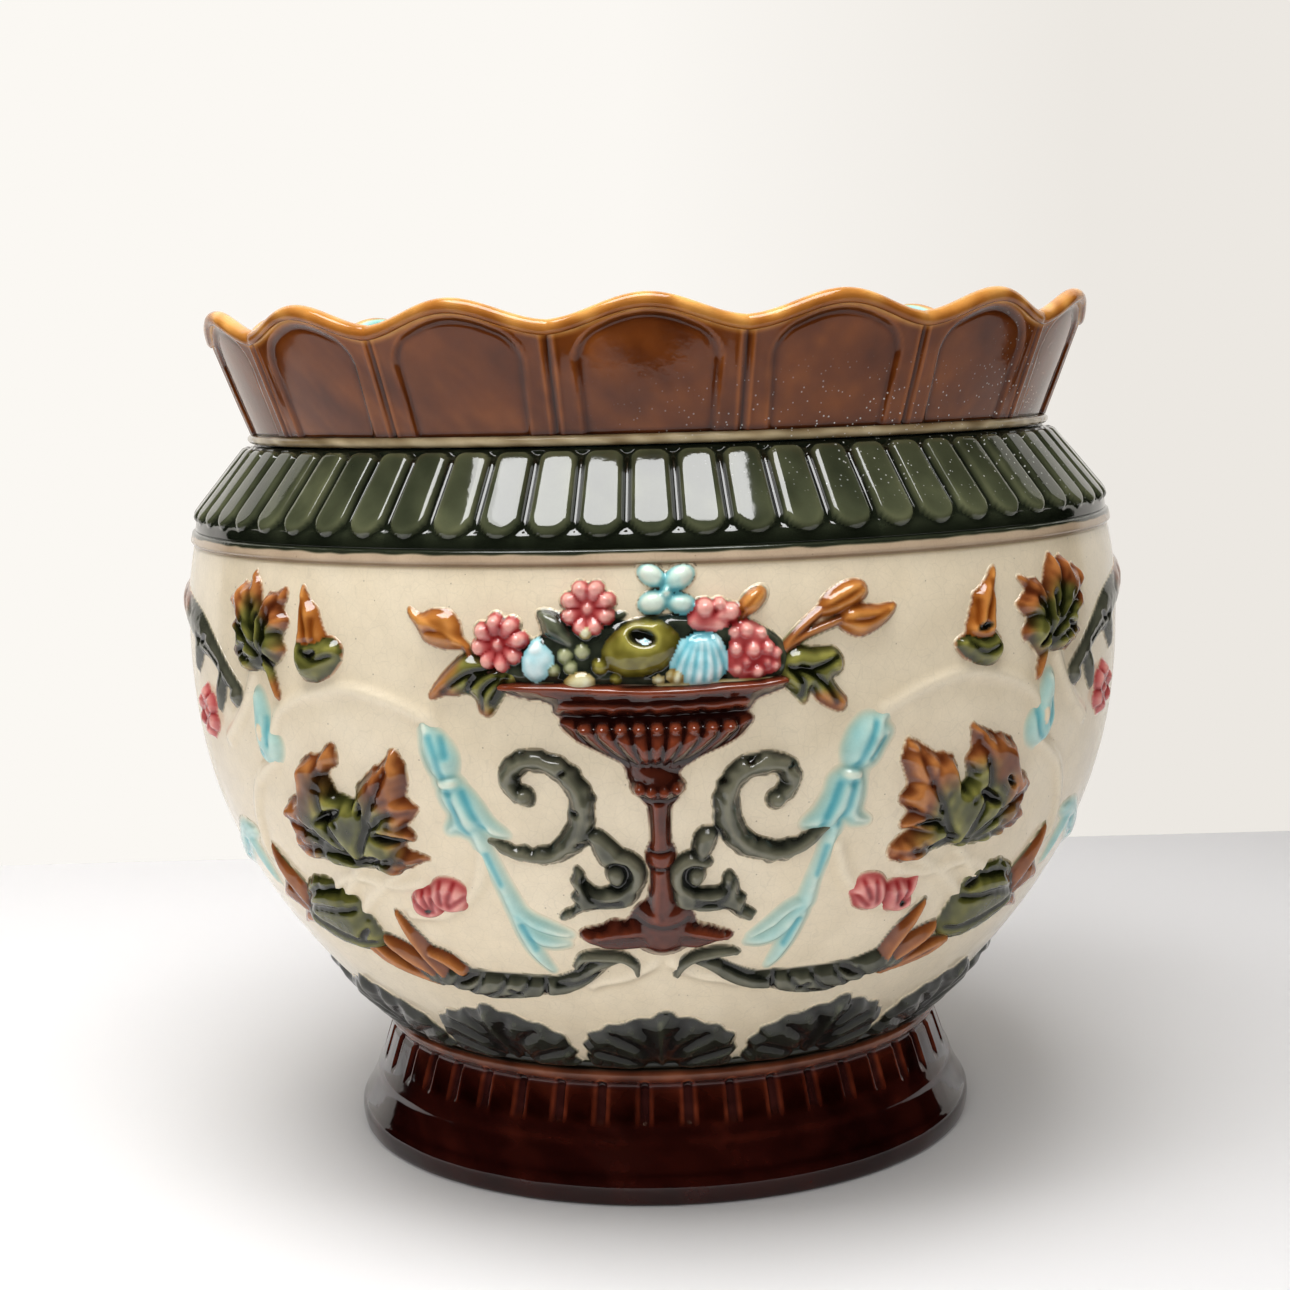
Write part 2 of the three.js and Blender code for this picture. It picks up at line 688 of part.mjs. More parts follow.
function tazzaFace(face) {
  const colors = {
    grey_scroll: 0x6a6c60,
    ribbon: 0x8cc8cc,
    vine_leaf: 0x7a6a2a,
    pink_bloom: 0xc8707a,
    festoon: 0x6a6c60,
    green_bud: 0x57682c,
    top_leaf: 0x6a6a2c,
    top_bud: 0xb8702c,
    ribbon_drop: 0xa8d8d8,
  };
  const group = new THREE.Group();
  group.add(
    piece(`${face}_tazza`, sprig(tazza), 0x5a2416),
    piece(`${face}_fruit_cluster`, sprig(fruitCluster), 0xb8606a),
    piece(`${face}_ochre_sprig_left`, sprig(ochreSprigLeft), 0x8a6a24),
    piece(`${face}_ochre_sprig_right`, sprig(ochreSprigRight), 0x8a6a24),
  );
  for (const [name, pieces] of Object.entries(pairs)) {
    group.add(piece(`${face}_${name}_left`, sprig(pieces, -1), colors[name]));
    group.add(piece(`${face}_${name}_right`, sprig(pieces, 1), colors[name]));
  }
  return group;
}

function endFace(end) {
  const group = new THREE.Group();
  group.add(
    piece(`${end}_end_arch`, sprig(endArch, endStretch), 0x8a8468),
    piece(`${end}_end_swag`, sprig(endSwag, endStretch), 0x8cc8cc),
    piece(`${end}_end_bloom_a`, sprig(endBloom, -endStretch), 0xc8707a),
    piece(`${end}_end_bloom_b`, sprig(endBloom, endStretch), 0xc8707a),
  );
  return group;
}

const footRing = piece("foot", foot(), 0x3a120a);
const bowlBody = piece("bowl", bowl(), 0xddd2bd, 0.2);
const palmettes = piece("palmette_band", palmetteBand(), 0x4c503c);
const shoulderRing = piece("shoulder", shoulder(), 0x3c4028);
const bead = piece("neck_bead", neckBead(), 0x9a8a70);
const rimRing = piece("rim", rim(), 0x7a4420);

const front = tazzaFace("front");
const back = tazzaFace("back");
const right = endFace("right");
const left = endFace("left");
back.rotation.z = Math.PI;
right.rotation.z = Math.PI / 2;
left.rotation.z = -Math.PI / 2;

const decoratedBowl = new THREE.Group();
decoratedBowl.add(bowlBody, palmettes, front, back, right, left);
decoratedBowl.position.z = footHeight;
shoulderRing.position.z = shoulderLevel;
bead.position.z = beadLevel;
rimRing.position.z = rimLevel;

const jardiniere = new THREE.Group();
jardiniere.add(footRing, decoratedBowl, shoulderRing, bead, rimRing);

export default jardiniere;
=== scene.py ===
"""Looks of a relief-moulded majolica jardiniere on its own spreading foot.

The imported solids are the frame. Each thrown ring (foot, bowl, shoulder, neck bead, rim) is rebuilt as a
finely stepped section that is swept round the pot, and each sprig is drawn as a sheet of relief on the
bowl's wall and given its thickness of glaze. Drawings are in millimetres, meshes in metres.
"""

import logging
import math
from dataclasses import dataclass
from enum import Enum
from typing import Any, Sequence

import bpy
import numpy as np
from mathutils import Euler, Matrix, Vector
from mathutils.geometry import delaunay_2d_cdt


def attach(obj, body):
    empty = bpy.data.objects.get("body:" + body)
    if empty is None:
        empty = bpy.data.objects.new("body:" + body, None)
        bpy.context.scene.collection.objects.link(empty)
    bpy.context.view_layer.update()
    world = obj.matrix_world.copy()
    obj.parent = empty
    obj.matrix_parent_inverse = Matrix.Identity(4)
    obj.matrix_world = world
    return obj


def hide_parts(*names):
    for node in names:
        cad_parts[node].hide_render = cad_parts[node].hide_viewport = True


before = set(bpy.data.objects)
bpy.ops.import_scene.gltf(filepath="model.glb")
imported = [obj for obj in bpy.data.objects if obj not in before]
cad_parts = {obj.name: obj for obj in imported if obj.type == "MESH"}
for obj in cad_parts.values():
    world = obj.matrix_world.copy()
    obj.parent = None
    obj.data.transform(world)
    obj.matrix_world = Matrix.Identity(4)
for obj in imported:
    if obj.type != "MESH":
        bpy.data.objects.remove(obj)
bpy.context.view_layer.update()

log = logging.getLogger("jardiniere")

MM = 0.001
TAU = 2 * math.pi
Array = np.ndarray
Socket = bpy.types.NodeSocket
Point = tuple[float, ...]
Pair = tuple[float, float]
Line = Sequence[Point]
Arrays = tuple[Array, Array]
Window = tuple[slice, slice]
Part = tuple[Array, Array, Array]


# ---------------------------------------------------------------- small sums


def to_linear(colour: Sequence[float]) -> Array:
    """Turn a colour of 0 to 255 a channel, as the eye reads it, into linear light.

    Args:
        colour: red, green and blue, 0 to 255.

    Returns:
        The three linear values as an array.
    """
    share = np.asarray(colour, float) / 255
    return np.where(share <= 0.04045, share / 12.92, ((share + 0.055) / 1.055) ** 2.4)


def ease(value: Array, low: float, high: float) -> Array:
    """Rise smoothly from 0 at low to 1 at high.

    Args:
        value: where to read the step.
        low: the value that gives 0.
        high: the value that gives 1.

    Returns:
        The eased share, 0 to 1.
    """
    share = np.clip((value - low) / (high - low), 0, 1)
    return share * share * (3 - 2 * share)


def quarter_round(share: Array) -> Array:
    """Rise like a quarter circle, steep at 0 and level from 1 on."""
    return np.sqrt(np.clip(1 - (1 - np.clip(share, 0, 1)) ** 2, 0, 1))


def swell(share: Array) -> Array:
    """Rise like a low arch, at a slant from 0 and level from 1 on."""
    share = np.clip(share, 0, 1)
    return share * (2 - share)


def bell(distance: Array, width: float) -> Array:
    """Fall off softly from 1 at no distance, to a third at one width."""
    return np.exp(-((distance / width) ** 2))


def drift(x: Array, y: Array, scale: float, seed: float) -> Array:
    """Wander smoothly between -1 and 1, the same way for the same seed.

    Args:
        x: first coordinates.
        y: second coordinates.
        scale: how far apart the wander's knots are.
        seed: which wander it is.

    Returns:
        The value at each point.
    """
    column, row = np.floor(x / scale), np.floor(y / scale)
    along, up = x / scale - column, y / scale - row
    along, up = along * along * (3 - 2 * along), up * up * (3 - 2 * up)

    def knot(i: Array, j: Array) -> Array:
        """The wander's value at a knot."""
        return (np.sin(i * 127.1 + j * 311.7 + seed * 74.7) * 43758.5453) % 1

    low = knot(column, row) * (1 - along) + knot(column + 1, row) * along
    high = knot(column, row + 1) * (1 - along) + knot(column + 1, row + 1) * along
    return 2 * (low * (1 - up) + high * up) - 1


WANDER_RADIUS = 165.0  # circle that a ring's wander is read along
WANDER_SLANT = (0.4, 0.9)  # how far it is read aside for each step up


def round_drift(angles: Array, up: Array, scale: float, seed: float) -> Array:
    """Smooth random values that close round a ring.

    Args:
        angles: the ring's columns.
        up: height or length up its rows.
        scale: size of the blotches.
        seed: which of the many patterns.

    Returns:
        Values from about -1 to 1 for every column and row.
    """
    x = WANDER_RADIUS * np.sin(angles)[:, None] + WANDER_SLANT[0] * up
    y = WANDER_RADIUS * np.cos(angles)[:, None] + WANDER_SLANT[1] * up
    return drift(x, y, scale, seed)


def soften(sheet: Array, step: Pair, radius: float) -> Array:
    """Blur a sheet of heights by a bell of the given radius.

    Args:
        sheet: heights on an even grid.
        step: the grid's spacing in its two directions.
        radius: the bell's radius in the same unit.

    Returns:
        The blurred sheet.
    """
    waves_x = np.fft.fftfreq(sheet.shape[0], step[0])[:, None]
    waves_y = np.fft.rfftfreq(sheet.shape[1], step[1])[None, :]
    damp = np.exp(-2 * (math.pi * radius) ** 2 * (waves_x**2 + waves_y**2))
    return np.fft.irfft2(np.fft.rfft2(sheet) * damp, s=sheet.shape)


def smooth_line(points: Line, closed: bool = False, detail: int = 6) -> Array:
    """Run a smooth line through points.

    Args:
        points: the points, each with two or more numbers.
        closed: whether the line comes back to its start.
        detail: steps between two points.

    Returns:
        The line's points, one row each.
    """
    knots = np.asarray(points, float)
    count = len(knots)
    spans = count if closed else count - 1
    shares = np.arange(detail) / detail
    rows = []
    for i in range(spans):
        if closed:
            a, b, c, d = (knots[(i + k) % count] for k in (-1, 0, 1, 2))
        else:
            a, b, c, d = (knots[min(max(i + k, 0), count - 1)] for k in (-1, 0, 1, 2))
        for t in shares:
            bend = (2 * a - 5 * b + 4 * c - d) * t * t + (3 * b - a - 3 * c + d) * t**3
            rows.append(0.5 * (2 * b + (c - a) * t + bend))
    if not closed:
        rows.append(knots[-1])
    return np.array(rows)


def outline_distance(x: Array, y: Array, outline: Array) -> Array:
    """Measure how far each point lies inside a closed outline, or outside it where negative.

    Args:
        x: first coordinates.
        y: second coordinates.
        outline: the outline's corners, one row each.

    Returns:
        The signed distance.
    """
    nearest = np.full(x.shape, 1e9)
    inside = np.zeros(x.shape, bool)
    for (ax, ay), (bx, by) in zip(outline, np.roll(outline, -1, axis=0)):
        ex, ey = bx - ax, by - ay
        along = np.clip(((x - ax) * ex + (y - ay) * ey) / (ex * ex + ey * ey + 1e-12), 0, 1)
        nearest = np.minimum(nearest, (x - ax - along * ex) ** 2 + (y - ay - along * ey) ** 2)
        if ay != by:
            inside ^= ((ay > y) != (by > y)) & (x < ex * (y - ay) / ey + ax)
    return np.where(inside, 1, -1) * np.sqrt(nearest)


def line_distance(x: Array, y: Array, line: Array) -> Arrays:
    """Measure how far each point lies inside a drawn-out line.

    Args:
        x: first coordinates.
        y: second coordinates.
        line: rows of two coordinates and a half width.

    Returns:
        The distance inside the line's edge, and the half width there.
    """
    best = np.full(x.shape, -1e9)
    width = np.zeros(x.shape)
    for (ax, ay, ah), (bx, by, bh) in zip(line[:-1], line[1:]):
        ex, ey = bx - ax, by - ay
        along = np.clip(((x - ax) * ex + (y - ay) * ey) / (ex * ex + ey * ey + 1e-12), 0, 1)
        half = ah + (bh - ah) * along
        inside = half - np.hypot(x - ax - along * ex, y - ay - along * ey)
        nearer = inside > best
        best = np.where(nearer, inside, best)
        width = np.where(nearer, half, width)
    return best, width


# ---------------------------------------------------------------- glazes


@dataclass(frozen=True)
class Glaze:
    """A coloured lead glaze: thin where it breaks over a ridge, deep where it has pooled."""

    thin: Point
    deep: Point

    def layers(self) -> Arrays:
        """The two colours as logarithms of linear light, so that depths mix as glass does."""
        return np.log(to_linear(self.thin) + 1e-4), np.log(to_linear(self.deep) + 1e-4)


CREAM = Glaze((236, 222, 196), (200, 178, 142))
LEDGE_CREAM = Glaze((222, 202, 176), (120, 98, 76))
TURQUOISE = Glaze((216, 230, 216), (102, 172, 180))
INNER_TURQUOISE = Glaze((196, 230, 222), (140, 206, 200))
MAROON = Glaze((118, 54, 32), (36, 11, 7))
AMBER = Glaze((150, 84, 34), (54, 20, 5))
LIP_AMBER = Glaze((220, 164, 90), (118, 58, 14))
OLIVE = Glaze((108, 110, 80), (28, 32, 22))
PALMETTE_GREEN = Glaze((92, 94, 74), (14, 16, 10))
GREY = Glaze((112, 110, 92), (24, 26, 20))
BEAD_BEIGE = Glaze((196, 178, 142), (96, 76, 48))
FOOT_BROWN = Glaze((126, 58, 34), (26, 4, 2))
# purple-brown painted reflection, laid on the flutes and the strip over them
FOOT_SHEEN_BROWN = Glaze((88, 46, 40), (34, 12, 12))
FOOT_SLOPE = Glaze((92, 36, 22), (24, 4, 3))
FOOT_BEAD = Glaze((150, 92, 62), (58, 26, 14))
LEAF_GREEN = Glaze((136, 132, 66), (26, 28, 8))
LEAF_OCHRE = Glaze((178, 114, 60), (78, 34, 14))
BUD_ORANGE = Glaze((204, 140, 72), (118, 58, 16))
DARK_LEAF = Glaze((96, 100, 80), (20, 24, 18))
PINK = Glaze((228, 160, 150), (144, 38, 40))
APPLE = Glaze((150, 142, 66), (46, 40, 6))
PALE_FRUIT = Glaze((224, 222, 190), (150, 120, 60))
ICE = Glaze((226, 240, 240), (120, 190, 202))
# near-black laid in pockets, standing for pooled glaze and the shade deep in them
POCKET_SHADE = Glaze((46, 44, 30), (10, 10, 6))
BISCUIT = Glaze((226, 214, 192), (180, 160, 128))


class NodeBoard:
    """The nodes of a material or a world, with sizes in the pot's millimetres."""

    def __init__(self, owner: bpy.types.Material | bpy.types.World) -> None:
        """Turn the owner's nodes on and take them up."""
        owner.use_nodes = True
        self.tree = owner.node_tree

    def feed(self, socket: Socket, value: Any) -> None:
        """Wire another node's output to an input, or set the input's own value."""
        if isinstance(value, Socket):
            self.tree.links.new(value, socket)
        else:
            socket.default_value = value

    def add(self, kind: str, inputs: dict[int | str, Any], out: int | str = 0, **ways: str) -> Socket:
        """Put down a node and give one of its outputs.

        Args:
            kind: the node's type after ShaderNode.
            inputs: what each input is fed with, a value or another node's output.
            out: which output is wanted.
            ways: the node's own settings.

        Returns:
            The output.
        """
        node = self.tree.nodes.new("ShaderNode" + kind)
        for name, way in ways.items():
            setattr(node, name, way)
        for name, value in inputs.items():
            self.feed(node.inputs[name], value)
        return node.outputs[out]

    def cloud(self, place: Socket, size: float, detail: int) -> Socket:
        """A cloudy pattern with blotches of the given size, 0 to 1."""
        return self.add("TexNoise", {"Scale": 1 / (size * MM), "Detail": detail, "Vector": place}, "Fac")

    def bent(self, place: Socket, reach: float, size: float) -> Socket:
        """The place, pushed about by a cloudy pattern so that straight lines wander."""
        push = self.add("TexNoise", {"Scale": 1 / (size * MM), "Vector": place}, "Color")
        return self.add("VectorMath", {0: push, 1: (reach * MM,) * 3, 2: place}, operation="MULTIPLY_ADD")

    def dots(self, place: Socket, size: float, share: float) -> Socket:
        """Scattered dots, one to a cell of the given size, 1 in a dot and 0 between."""
        reach = self.add("TexVoronoi", {"Scale": 1 / (size * MM), "Vector": place}, "Distance")
        return self.add("MapRange", {"From Min": share, "From Max": share * 0.6, "Value": reach})

    def ranged(
        self, value: Socket, low: float, high: float, start: float = 0.3, end: float = 0.7
    ) -> Socket:
        """Map a value's middle range, or the range given, on to low and high."""
        ends = {"From Min": start, "From Max": end, "To Min": low, "To Max": high}
        return self.add("MapRange", ends | {"Value": value})

    def shade(self, colour: Socket, value: Socket) -> Socket:
        """Darken or lighten a colour by a value about 1."""
        return self.add("VectorMath", {0: colour, "Scale": value}, operation="SCALE")

    def times(self, value: Socket, other: Any) -> Socket:
        """Multiply a value by another."""
        return self.add("Math", {0: value, 1: other}, operation="MULTIPLY")

    def blend(self, share: Socket, colour: Any, other: Any) -> Socket:
        """Go from one colour to another by a share."""
        return self.add("Mix", {"Factor": share, "A": colour, "B": other}, "Result", data_type="RGBA")


@dataclass(frozen=True)
class Coat:
    """How a glazed surface shines: its gloss, orange peel, crazing, kiln specks and pits.

    Attributes:
        name: the finish's name, which is also its slot.
        roughness: how dull its reflections are.
        peel: strength of the orange peel.
        peel_size: size of the peel's dimples in millimetres.
        crazing: how dark the crazing's lines are.
        specks: strength of the dark kiln specks.
        pits: strength of the pale pits where the mesh has its pitting.
        mottle: how much the colour varies from blotch to blotch.
        shine: strength of its reflections, 0.5 for clear glass.
    """

    name: str
    roughness: float = 0.1
    peel: float = 0.12
    peel_size: float = 2.2
    crazing: float = 0.0
    specks: float = 0.0
    pits: float = 0.0
    mottle: float = 0.1
    shine: float = 0.5

    LEAD_IOR = 1.52
    FILM, FILM_ROUGHNESS = 0.1, 0.03
    PEEL_DEPTH = 0.35
    BLOTCH_SIZE, GLOSS_SIZE, GRAIN_SIZE = 9, 14, 0.7
    GRAIN = 0.025
    CELL_SIZE, CELL_LINE = 4.4, 0.035
    BEND, BEND_SIZE = 2.2, 7
    SPECK_SPACING, SPECK_SHARE = 6.5, 0.055
    PIT_SPACING, PIT_SHARE = 2.1, 0.17
    SPECK_BROWN = (0.16, 0.1, 0.05, 1)
    PIT_WHITE = (0.82, 0.82, 0.78, 1)

    def material(self) -> bpy.types.Material:
        """Make the node material that reads the glaze laid on a mesh.

        Returns:
            The material.
        """
        material = bpy.data.materials.new(self.name)
        board = NodeBoard(material)
        place = board.add("TexCoord", {}, "Object")
        colour = self._colour(board, place)
        gloss = board.cloud(place, self.GLOSS_SIZE, 3)
        peel = board.cloud(place, self.peel_size, 2)
        bump = {"Strength": self.peel, "Distance": self.PEEL_DEPTH * MM, "Height": peel}
        normal = board.add("Bump", bump, "Normal")
        finish = {
            "IOR": self.LEAD_IOR,
            "Specular IOR Level": self.shine,
            "Coat Weight": self.FILM,
            "Coat Roughness": self.FILM_ROUGHNESS,
            "Base Color": colour,
            "Roughness": board.ranged(gloss, self.roughness * 0.7, self.roughness * 1.4),
            "Normal": normal,
            "Coat Normal": normal,
        }
        shader = board.tree.nodes["Principled BSDF"]
        for name, value in finish.items():
            board.feed(shader.inputs[name], value)
        return material

    def _colour(self, board: NodeBoard, place: Socket) -> Socket:
        """The mesh's glaze with its mottle, crazing, specks and pits."""
        colour = board.add("Attribute", {}, "Color", attribute_name="glaze")
        blotch = board.cloud(place, self.BLOTCH_SIZE, 3)
        colour = board.shade(colour, board.ranged(blotch, 1 - self.mottle, 1 + self.mottle))
        grain = board.cloud(place, self.GRAIN_SIZE, 2)
        colour = board.shade(colour, board.ranged(grain, 1 - self.GRAIN, 1 + self.GRAIN))
        if self.crazing:
            cells = {"Scale": 1 / (self.CELL_SIZE * MM), "Vector": board.bent(place, self.BEND, self.BEND_SIZE)}
            edge = board.add("TexVoronoi", cells, "Distance", feature="DISTANCE_TO_EDGE")
            colour = board.shade(colour, board.ranged(edge, 1 - self.crazing, 1, 0.0, self.CELL_LINE))
        if self.specks:
            dots = board.dots(place, self.SPECK_SPACING, self.SPECK_SHARE)
            colour = board.blend(board.times(dots, self.specks), colour, self.SPECK_BROWN)
        if self.pits:
            mask = board.add("Attribute", {}, "Fac", attribute_name="pitting")
            dots = board.times(board.dots(place, self.PIT_SPACING, self.PIT_SHARE), mask)
            colour = board.blend(board.times(dots, self.pits), colour, self.PIT_WHITE)
        return colour


class CoatKind(Enum):
    """The finishes of the pot's pieces, one for each of the record's slots."""

    FOOT = Coat("foot_glaze", roughness=0.07, peel=0.1, peel_size=3.2, mottle=0.2, shine=0.36)
    BODY = Coat("body_glaze", roughness=0.13, peel=0.2, crazing=0.07, specks=0.5, mottle=0.035)
    PALMETTE = Coat("palmette_glaze", roughness=0.1, mottle=0.16)
    SHOULDER = Coat("shoulder_glaze", roughness=0.05, peel=0.06, peel_size=3.0, pits=0.9, mottle=0.14)
    BEAD = Coat("bead_glaze", roughness=0.12, pits=0.8, mottle=0.14)
    RIM = Coat("rim_glaze", roughness=0.08, peel=0.07, peel_size=3.2, pits=0.9, mottle=0.12, shine=0.3)
    TAZZA = Coat("tazza_glaze", roughness=0.09, mottle=0.18)
    FRUIT = Coat("fruit_glaze", roughness=0.08, peel=0.08, mottle=0.08)
    OCHRE = Coat("ochre_glaze", roughness=0.1, mottle=0.14)
    GREY = Coat("grey_glaze", roughness=0.1, mottle=0.14)
    TURQUOISE = Coat("turquoise_glaze", roughness=0.11, peel=0.14, mottle=0.05)
    LEAF = Coat("leaf_glaze", roughness=0.09, mottle=0.16)
    PINK = Coat("pink_glaze", roughness=0.09, mottle=0.1)


class CoatShelf:
    """Keeps each finish's material, made once."""

    def __init__(self) -> None:
        """Start with nothing made."""
        self.made: dict[str, bpy.types.Material] = {}

    def take(self, kind: CoatKind) -> bpy.types.Material:
        """Give the material of a finish, making it the first time."""
        name = kind.value.name
        if name not in self.made:
            self.made[name] = kind.value.material()
        return self.made[name]


SHELF = CoatShelf()


# ---------------------------------------------------------------- meshes


@dataclass
class Shell:
    """Vertices in millimetres with faces and glaze, ready to become a piece."""

    places: Array
    faces: list[Array]
    glaze: Array
    pitting: Array | None = None

    def turned(self, angle: float) -> "Shell":
        """The same shell turned about the pot's axis.

        Args:
            angle: how far, in radians, from -Y towards +X.

        Returns:
            A new shell.
        """
        c, s = math.cos(angle), math.sin(angle)
        x, y, z = self.places.T
        places = np.column_stack((x * c - y * s, x * s + y * c, z))
        return Shell(places, self.faces, self.glaze, self.pitting)

    @staticmethod
    def joined(shells: Sequence["Shell"]) -> "Shell":
        """Put several shells in one.

        Args:
            shells: the shells to join.

        Returns:
            One shell that holds them all.
        """
        places = np.vstack([shell.places for shell in shells])
        glaze = np.vstack([shell.glaze for shell in shells])
        faces, start = [], 0
        for shell in shells:
            faces += [kind + start for kind in shell.faces]
            start += len(shell.places)
        return Shell(places, faces, glaze)

    def piece(self, name: str, coat: CoatKind, *nodes: str) -> bpy.types.Object:
        """Make the shell a piece that stands for the nodes given.

        Args:
            name: the piece's name.
            coat: its finish.
            nodes: the solids that it replaces.

        Returns:
            The new object.
        """
        mesh = bpy.data.meshes.new(name)
        mesh.vertices.add(len(self.places))
        mesh.vertices.foreach_set("co", (self.places * MM).astype(np.float32).ravel())
        corners = np.concatenate([kind.ravel() for kind in self.faces])
        sizes = np.concatenate([np.full(len(kind), kind.shape[1]) for kind in self.faces])
        mesh.loops.add(len(corners))
        mesh.loops.foreach_set("vertex_index", corners.astype(np.int32))
        mesh.polygons.add(len(sizes))
        mesh.polygons.foreach_set("loop_start", np.concatenate(([0], np.cumsum(sizes)[:-1])).astype(np.int32))
        mesh.update(calc_edges=True)
        mesh.validate()
        mesh.shade_smooth()
        colours = mesh.color_attributes.new(name="glaze", type="FLOAT_COLOR", domain="POINT")
        rgba = np.ones((len(self.places), 4), np.float32)
        rgba[:, :3] = self.glaze
        colours.data.foreach_set("color", rgba.ravel())
        if self.pitting is not None:
            pits = mesh.attributes.new(name="pitting", type="FLOAT", domain="POINT")
            pits.data.foreach_set("value", self.pitting.astype(np.float32).ravel())
        mesh.materials.append(SHELF.take(coat))
        obj = bpy.data.objects.new(name, mesh)
        bpy.context.scene.collection.objects.link(obj)
        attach(obj, "root")
        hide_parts(*nodes)
        log.info("%s: %d vertices, %d faces", name, len(self.places), len(sizes))
        return obj


def mixed(thin: Array, deep: Array, depth: Array) -> Array:
    """Mix a glaze's two colours by how deep it lies.

    Args:
        thin: logarithms of the thin colour.
        deep: logarithms of the deep colour.
        depth: 0 for thin, 1 for deep.

    Returns:
        Linear colours.
    """
    share = np.clip(depth, 0, 1.25)[..., None]
    return np.exp(thin * (1 - share) + deep * share)


@dataclass
class Sweep:
    """A closed section swept round the pot, which may change with the angle.

    Attributes:
        angles: the columns' angles, from -Y towards +X.
        radius: radius of each column's rows, closed top to bottom.
        height: height of each column's rows.
        glaze: linear colour of each column's rows.
        pitting: how pitted the glaze is at each column's rows, if at all.
    """

    angles: Array
    radius: Array
    height: Array
    glaze: Array
    pitting: Array | None = None

    @classmethod
    def of(cls, angles: Array, parts: Sequence[Part], pitting: Array | None = None) -> "Sweep":
        """Join a section's parts, from the outside over the lip to the lining.

        Args:
            angles: the columns' angles.
            parts: radius, height and linear colour of each part's rows.
            pitting: how pitted the first part is, where the rest has no pits.

        Returns:
            The sweep.
        """
        shapes = [colour.shape[:2] for _, _, colour in parts]
        radius, height = (
            np.hstack([np.broadcast_to(part[k], shape) for part, shape in zip(parts, shapes)]) for k in (0, 1)
        )
        if pitting is not None:
            pitting = np.pad(pitting, ((0, 0), (0, radius.shape[1] - pitting.shape[1])))
        return cls(angles, radius, height, np.concatenate([part[2] for part in parts], axis=1), pitting)

    def shell(self) -> Shell:
        """Join the columns into a closed ring of quads."""
        columns, rows = self.radius.shape
        across = np.sin(self.angles)[:, None] * self.radius
        along = -np.cos(self.angles)[:, None] * self.radius
        places = np.stack((across, along, self.height), axis=-1).reshape(-1, 3)
        column, row = np.meshgrid(np.arange(columns), np.arange(rows), indexing="ij")
        right, up = (column + 1) % columns, (row + 1) % rows
        quads = np.stack((column * rows + row, right * rows + row, right * rows + up, column * rows + up), axis=-1)
        pitting = None if self.pitting is None else self.pitting.reshape(-1)
        return Shell(places, [quads.reshape(-1, 4)], self.glaze.reshape(-1, 3), pitting)


def layered(shape: tuple[int, ...], glaze: Glaze) -> Arrays:
    """Spread one glaze over a sheet.

    Args:
        shape: the sheet's shape.
        glaze: the glaze.

    Returns:
        Its thin and deep layers at every point.
    """
    thin, deep = glaze.layers()
    return np.broadcast_to(thin, (*shape, 3)).copy(), np.broadcast_to(deep, (*shape, 3)).copy()


def shift_to(layers: Arrays, glaze: Glaze, share: Array) -> Arrays:
    """Let another glaze run over a sheet's own.

    Args:
        layers: the sheet's thin and deep layers.
        glaze: the glaze that runs over it.
        share: how much of it there is at each point.

    Returns:
        The new layers.
    """
    weight = np.clip(share, 0, 1)[..., None]
    return tuple(own * (1 - weight) + new * weight for own, new in zip(layers, glaze.layers()))


# ---------------------------------------------------------------- the bowl's wall


@dataclass(frozen=True)
class BowlWall:
    """The bowl's outer wall, and places on it by a drawing's millimetres."""

    base_level: float = 47.0
    height: float = 191.0
    base_radius: float = 107.5
    belly_radius: float = 180.0
    belly_drop: float = 36.5
    fullness: float = 2.39
    top_inset: float = 4.5
    drawn_girth: float = 212.0
    drawn_radius: float = 180.0

    def radius_at(self, height: Array) -> Array:
        """Outer radius at heights above the bowl's base."""
        belly = self.height - self.belly_drop
        under = np.clip(1 - height / belly, 0, 1) ** self.fullness
        over = np.clip((height - belly) / self.belly_drop, 0, None) ** 2
        return self.belly_radius - (self.belly_radius - self.base_radius) * under - self.top_inset * over

    def table(self) -> tuple[Array, Array, Array]:
        """Drawn girth, height and radius at many steps up the wall."""
        height = np.linspace(0, self.height, 2001)
        radius = self.radius_at(height)
        girth = np.concatenate(([0], np.cumsum(np.hypot(np.diff(height), np.diff(radius)))))
        return girth * self.drawn_girth / girth[-1], height, radius

    def section(self, up: Array, lift: Array) -> Arrays:
        """Radius and level of points up the wall and off it.

        Args:
            up: drawn distance up the wall.
            lift: distance off the wall.

        Returns:
            Radius and height above the floor.
        """
        girth, height, radius = self.table()
        slope_r = np.gradient(radius, height)
        at_height = np.interp(up, girth, height)
        at_radius = np.interp(up, girth, radius)
        slope = np.interp(up, girth, slope_r)
        size = np.hypot(1, slope)
        return at_radius + lift / size, self.base_level + at_height - lift * slope / size

    def place(self, across: Array, up: Array, lift: Array) -> Array:
        """Points on the wall from a drawing's two distances and a lift off the wall."""
        radius, level = self.section(up, lift)
        angle = across / self.drawn_radius
        return np.stack((radius * np.sin(angle), -radius * np.cos(angle), level), axis=-1)


WALL = BowlWall()


class Turn(Enum):
    """The four faces of the pot, by how far each is turned from the front."""

    FRONT = 0.0
    RIGHT = 0.5
    BACK = 1.0
    LEFT = -0.5

    @property
    def angle(self) -> float:
        """The turn in radians, from -Y towards +X."""
        return self.value * math.pi


# ---------------------------------------------------------------- drawn relief


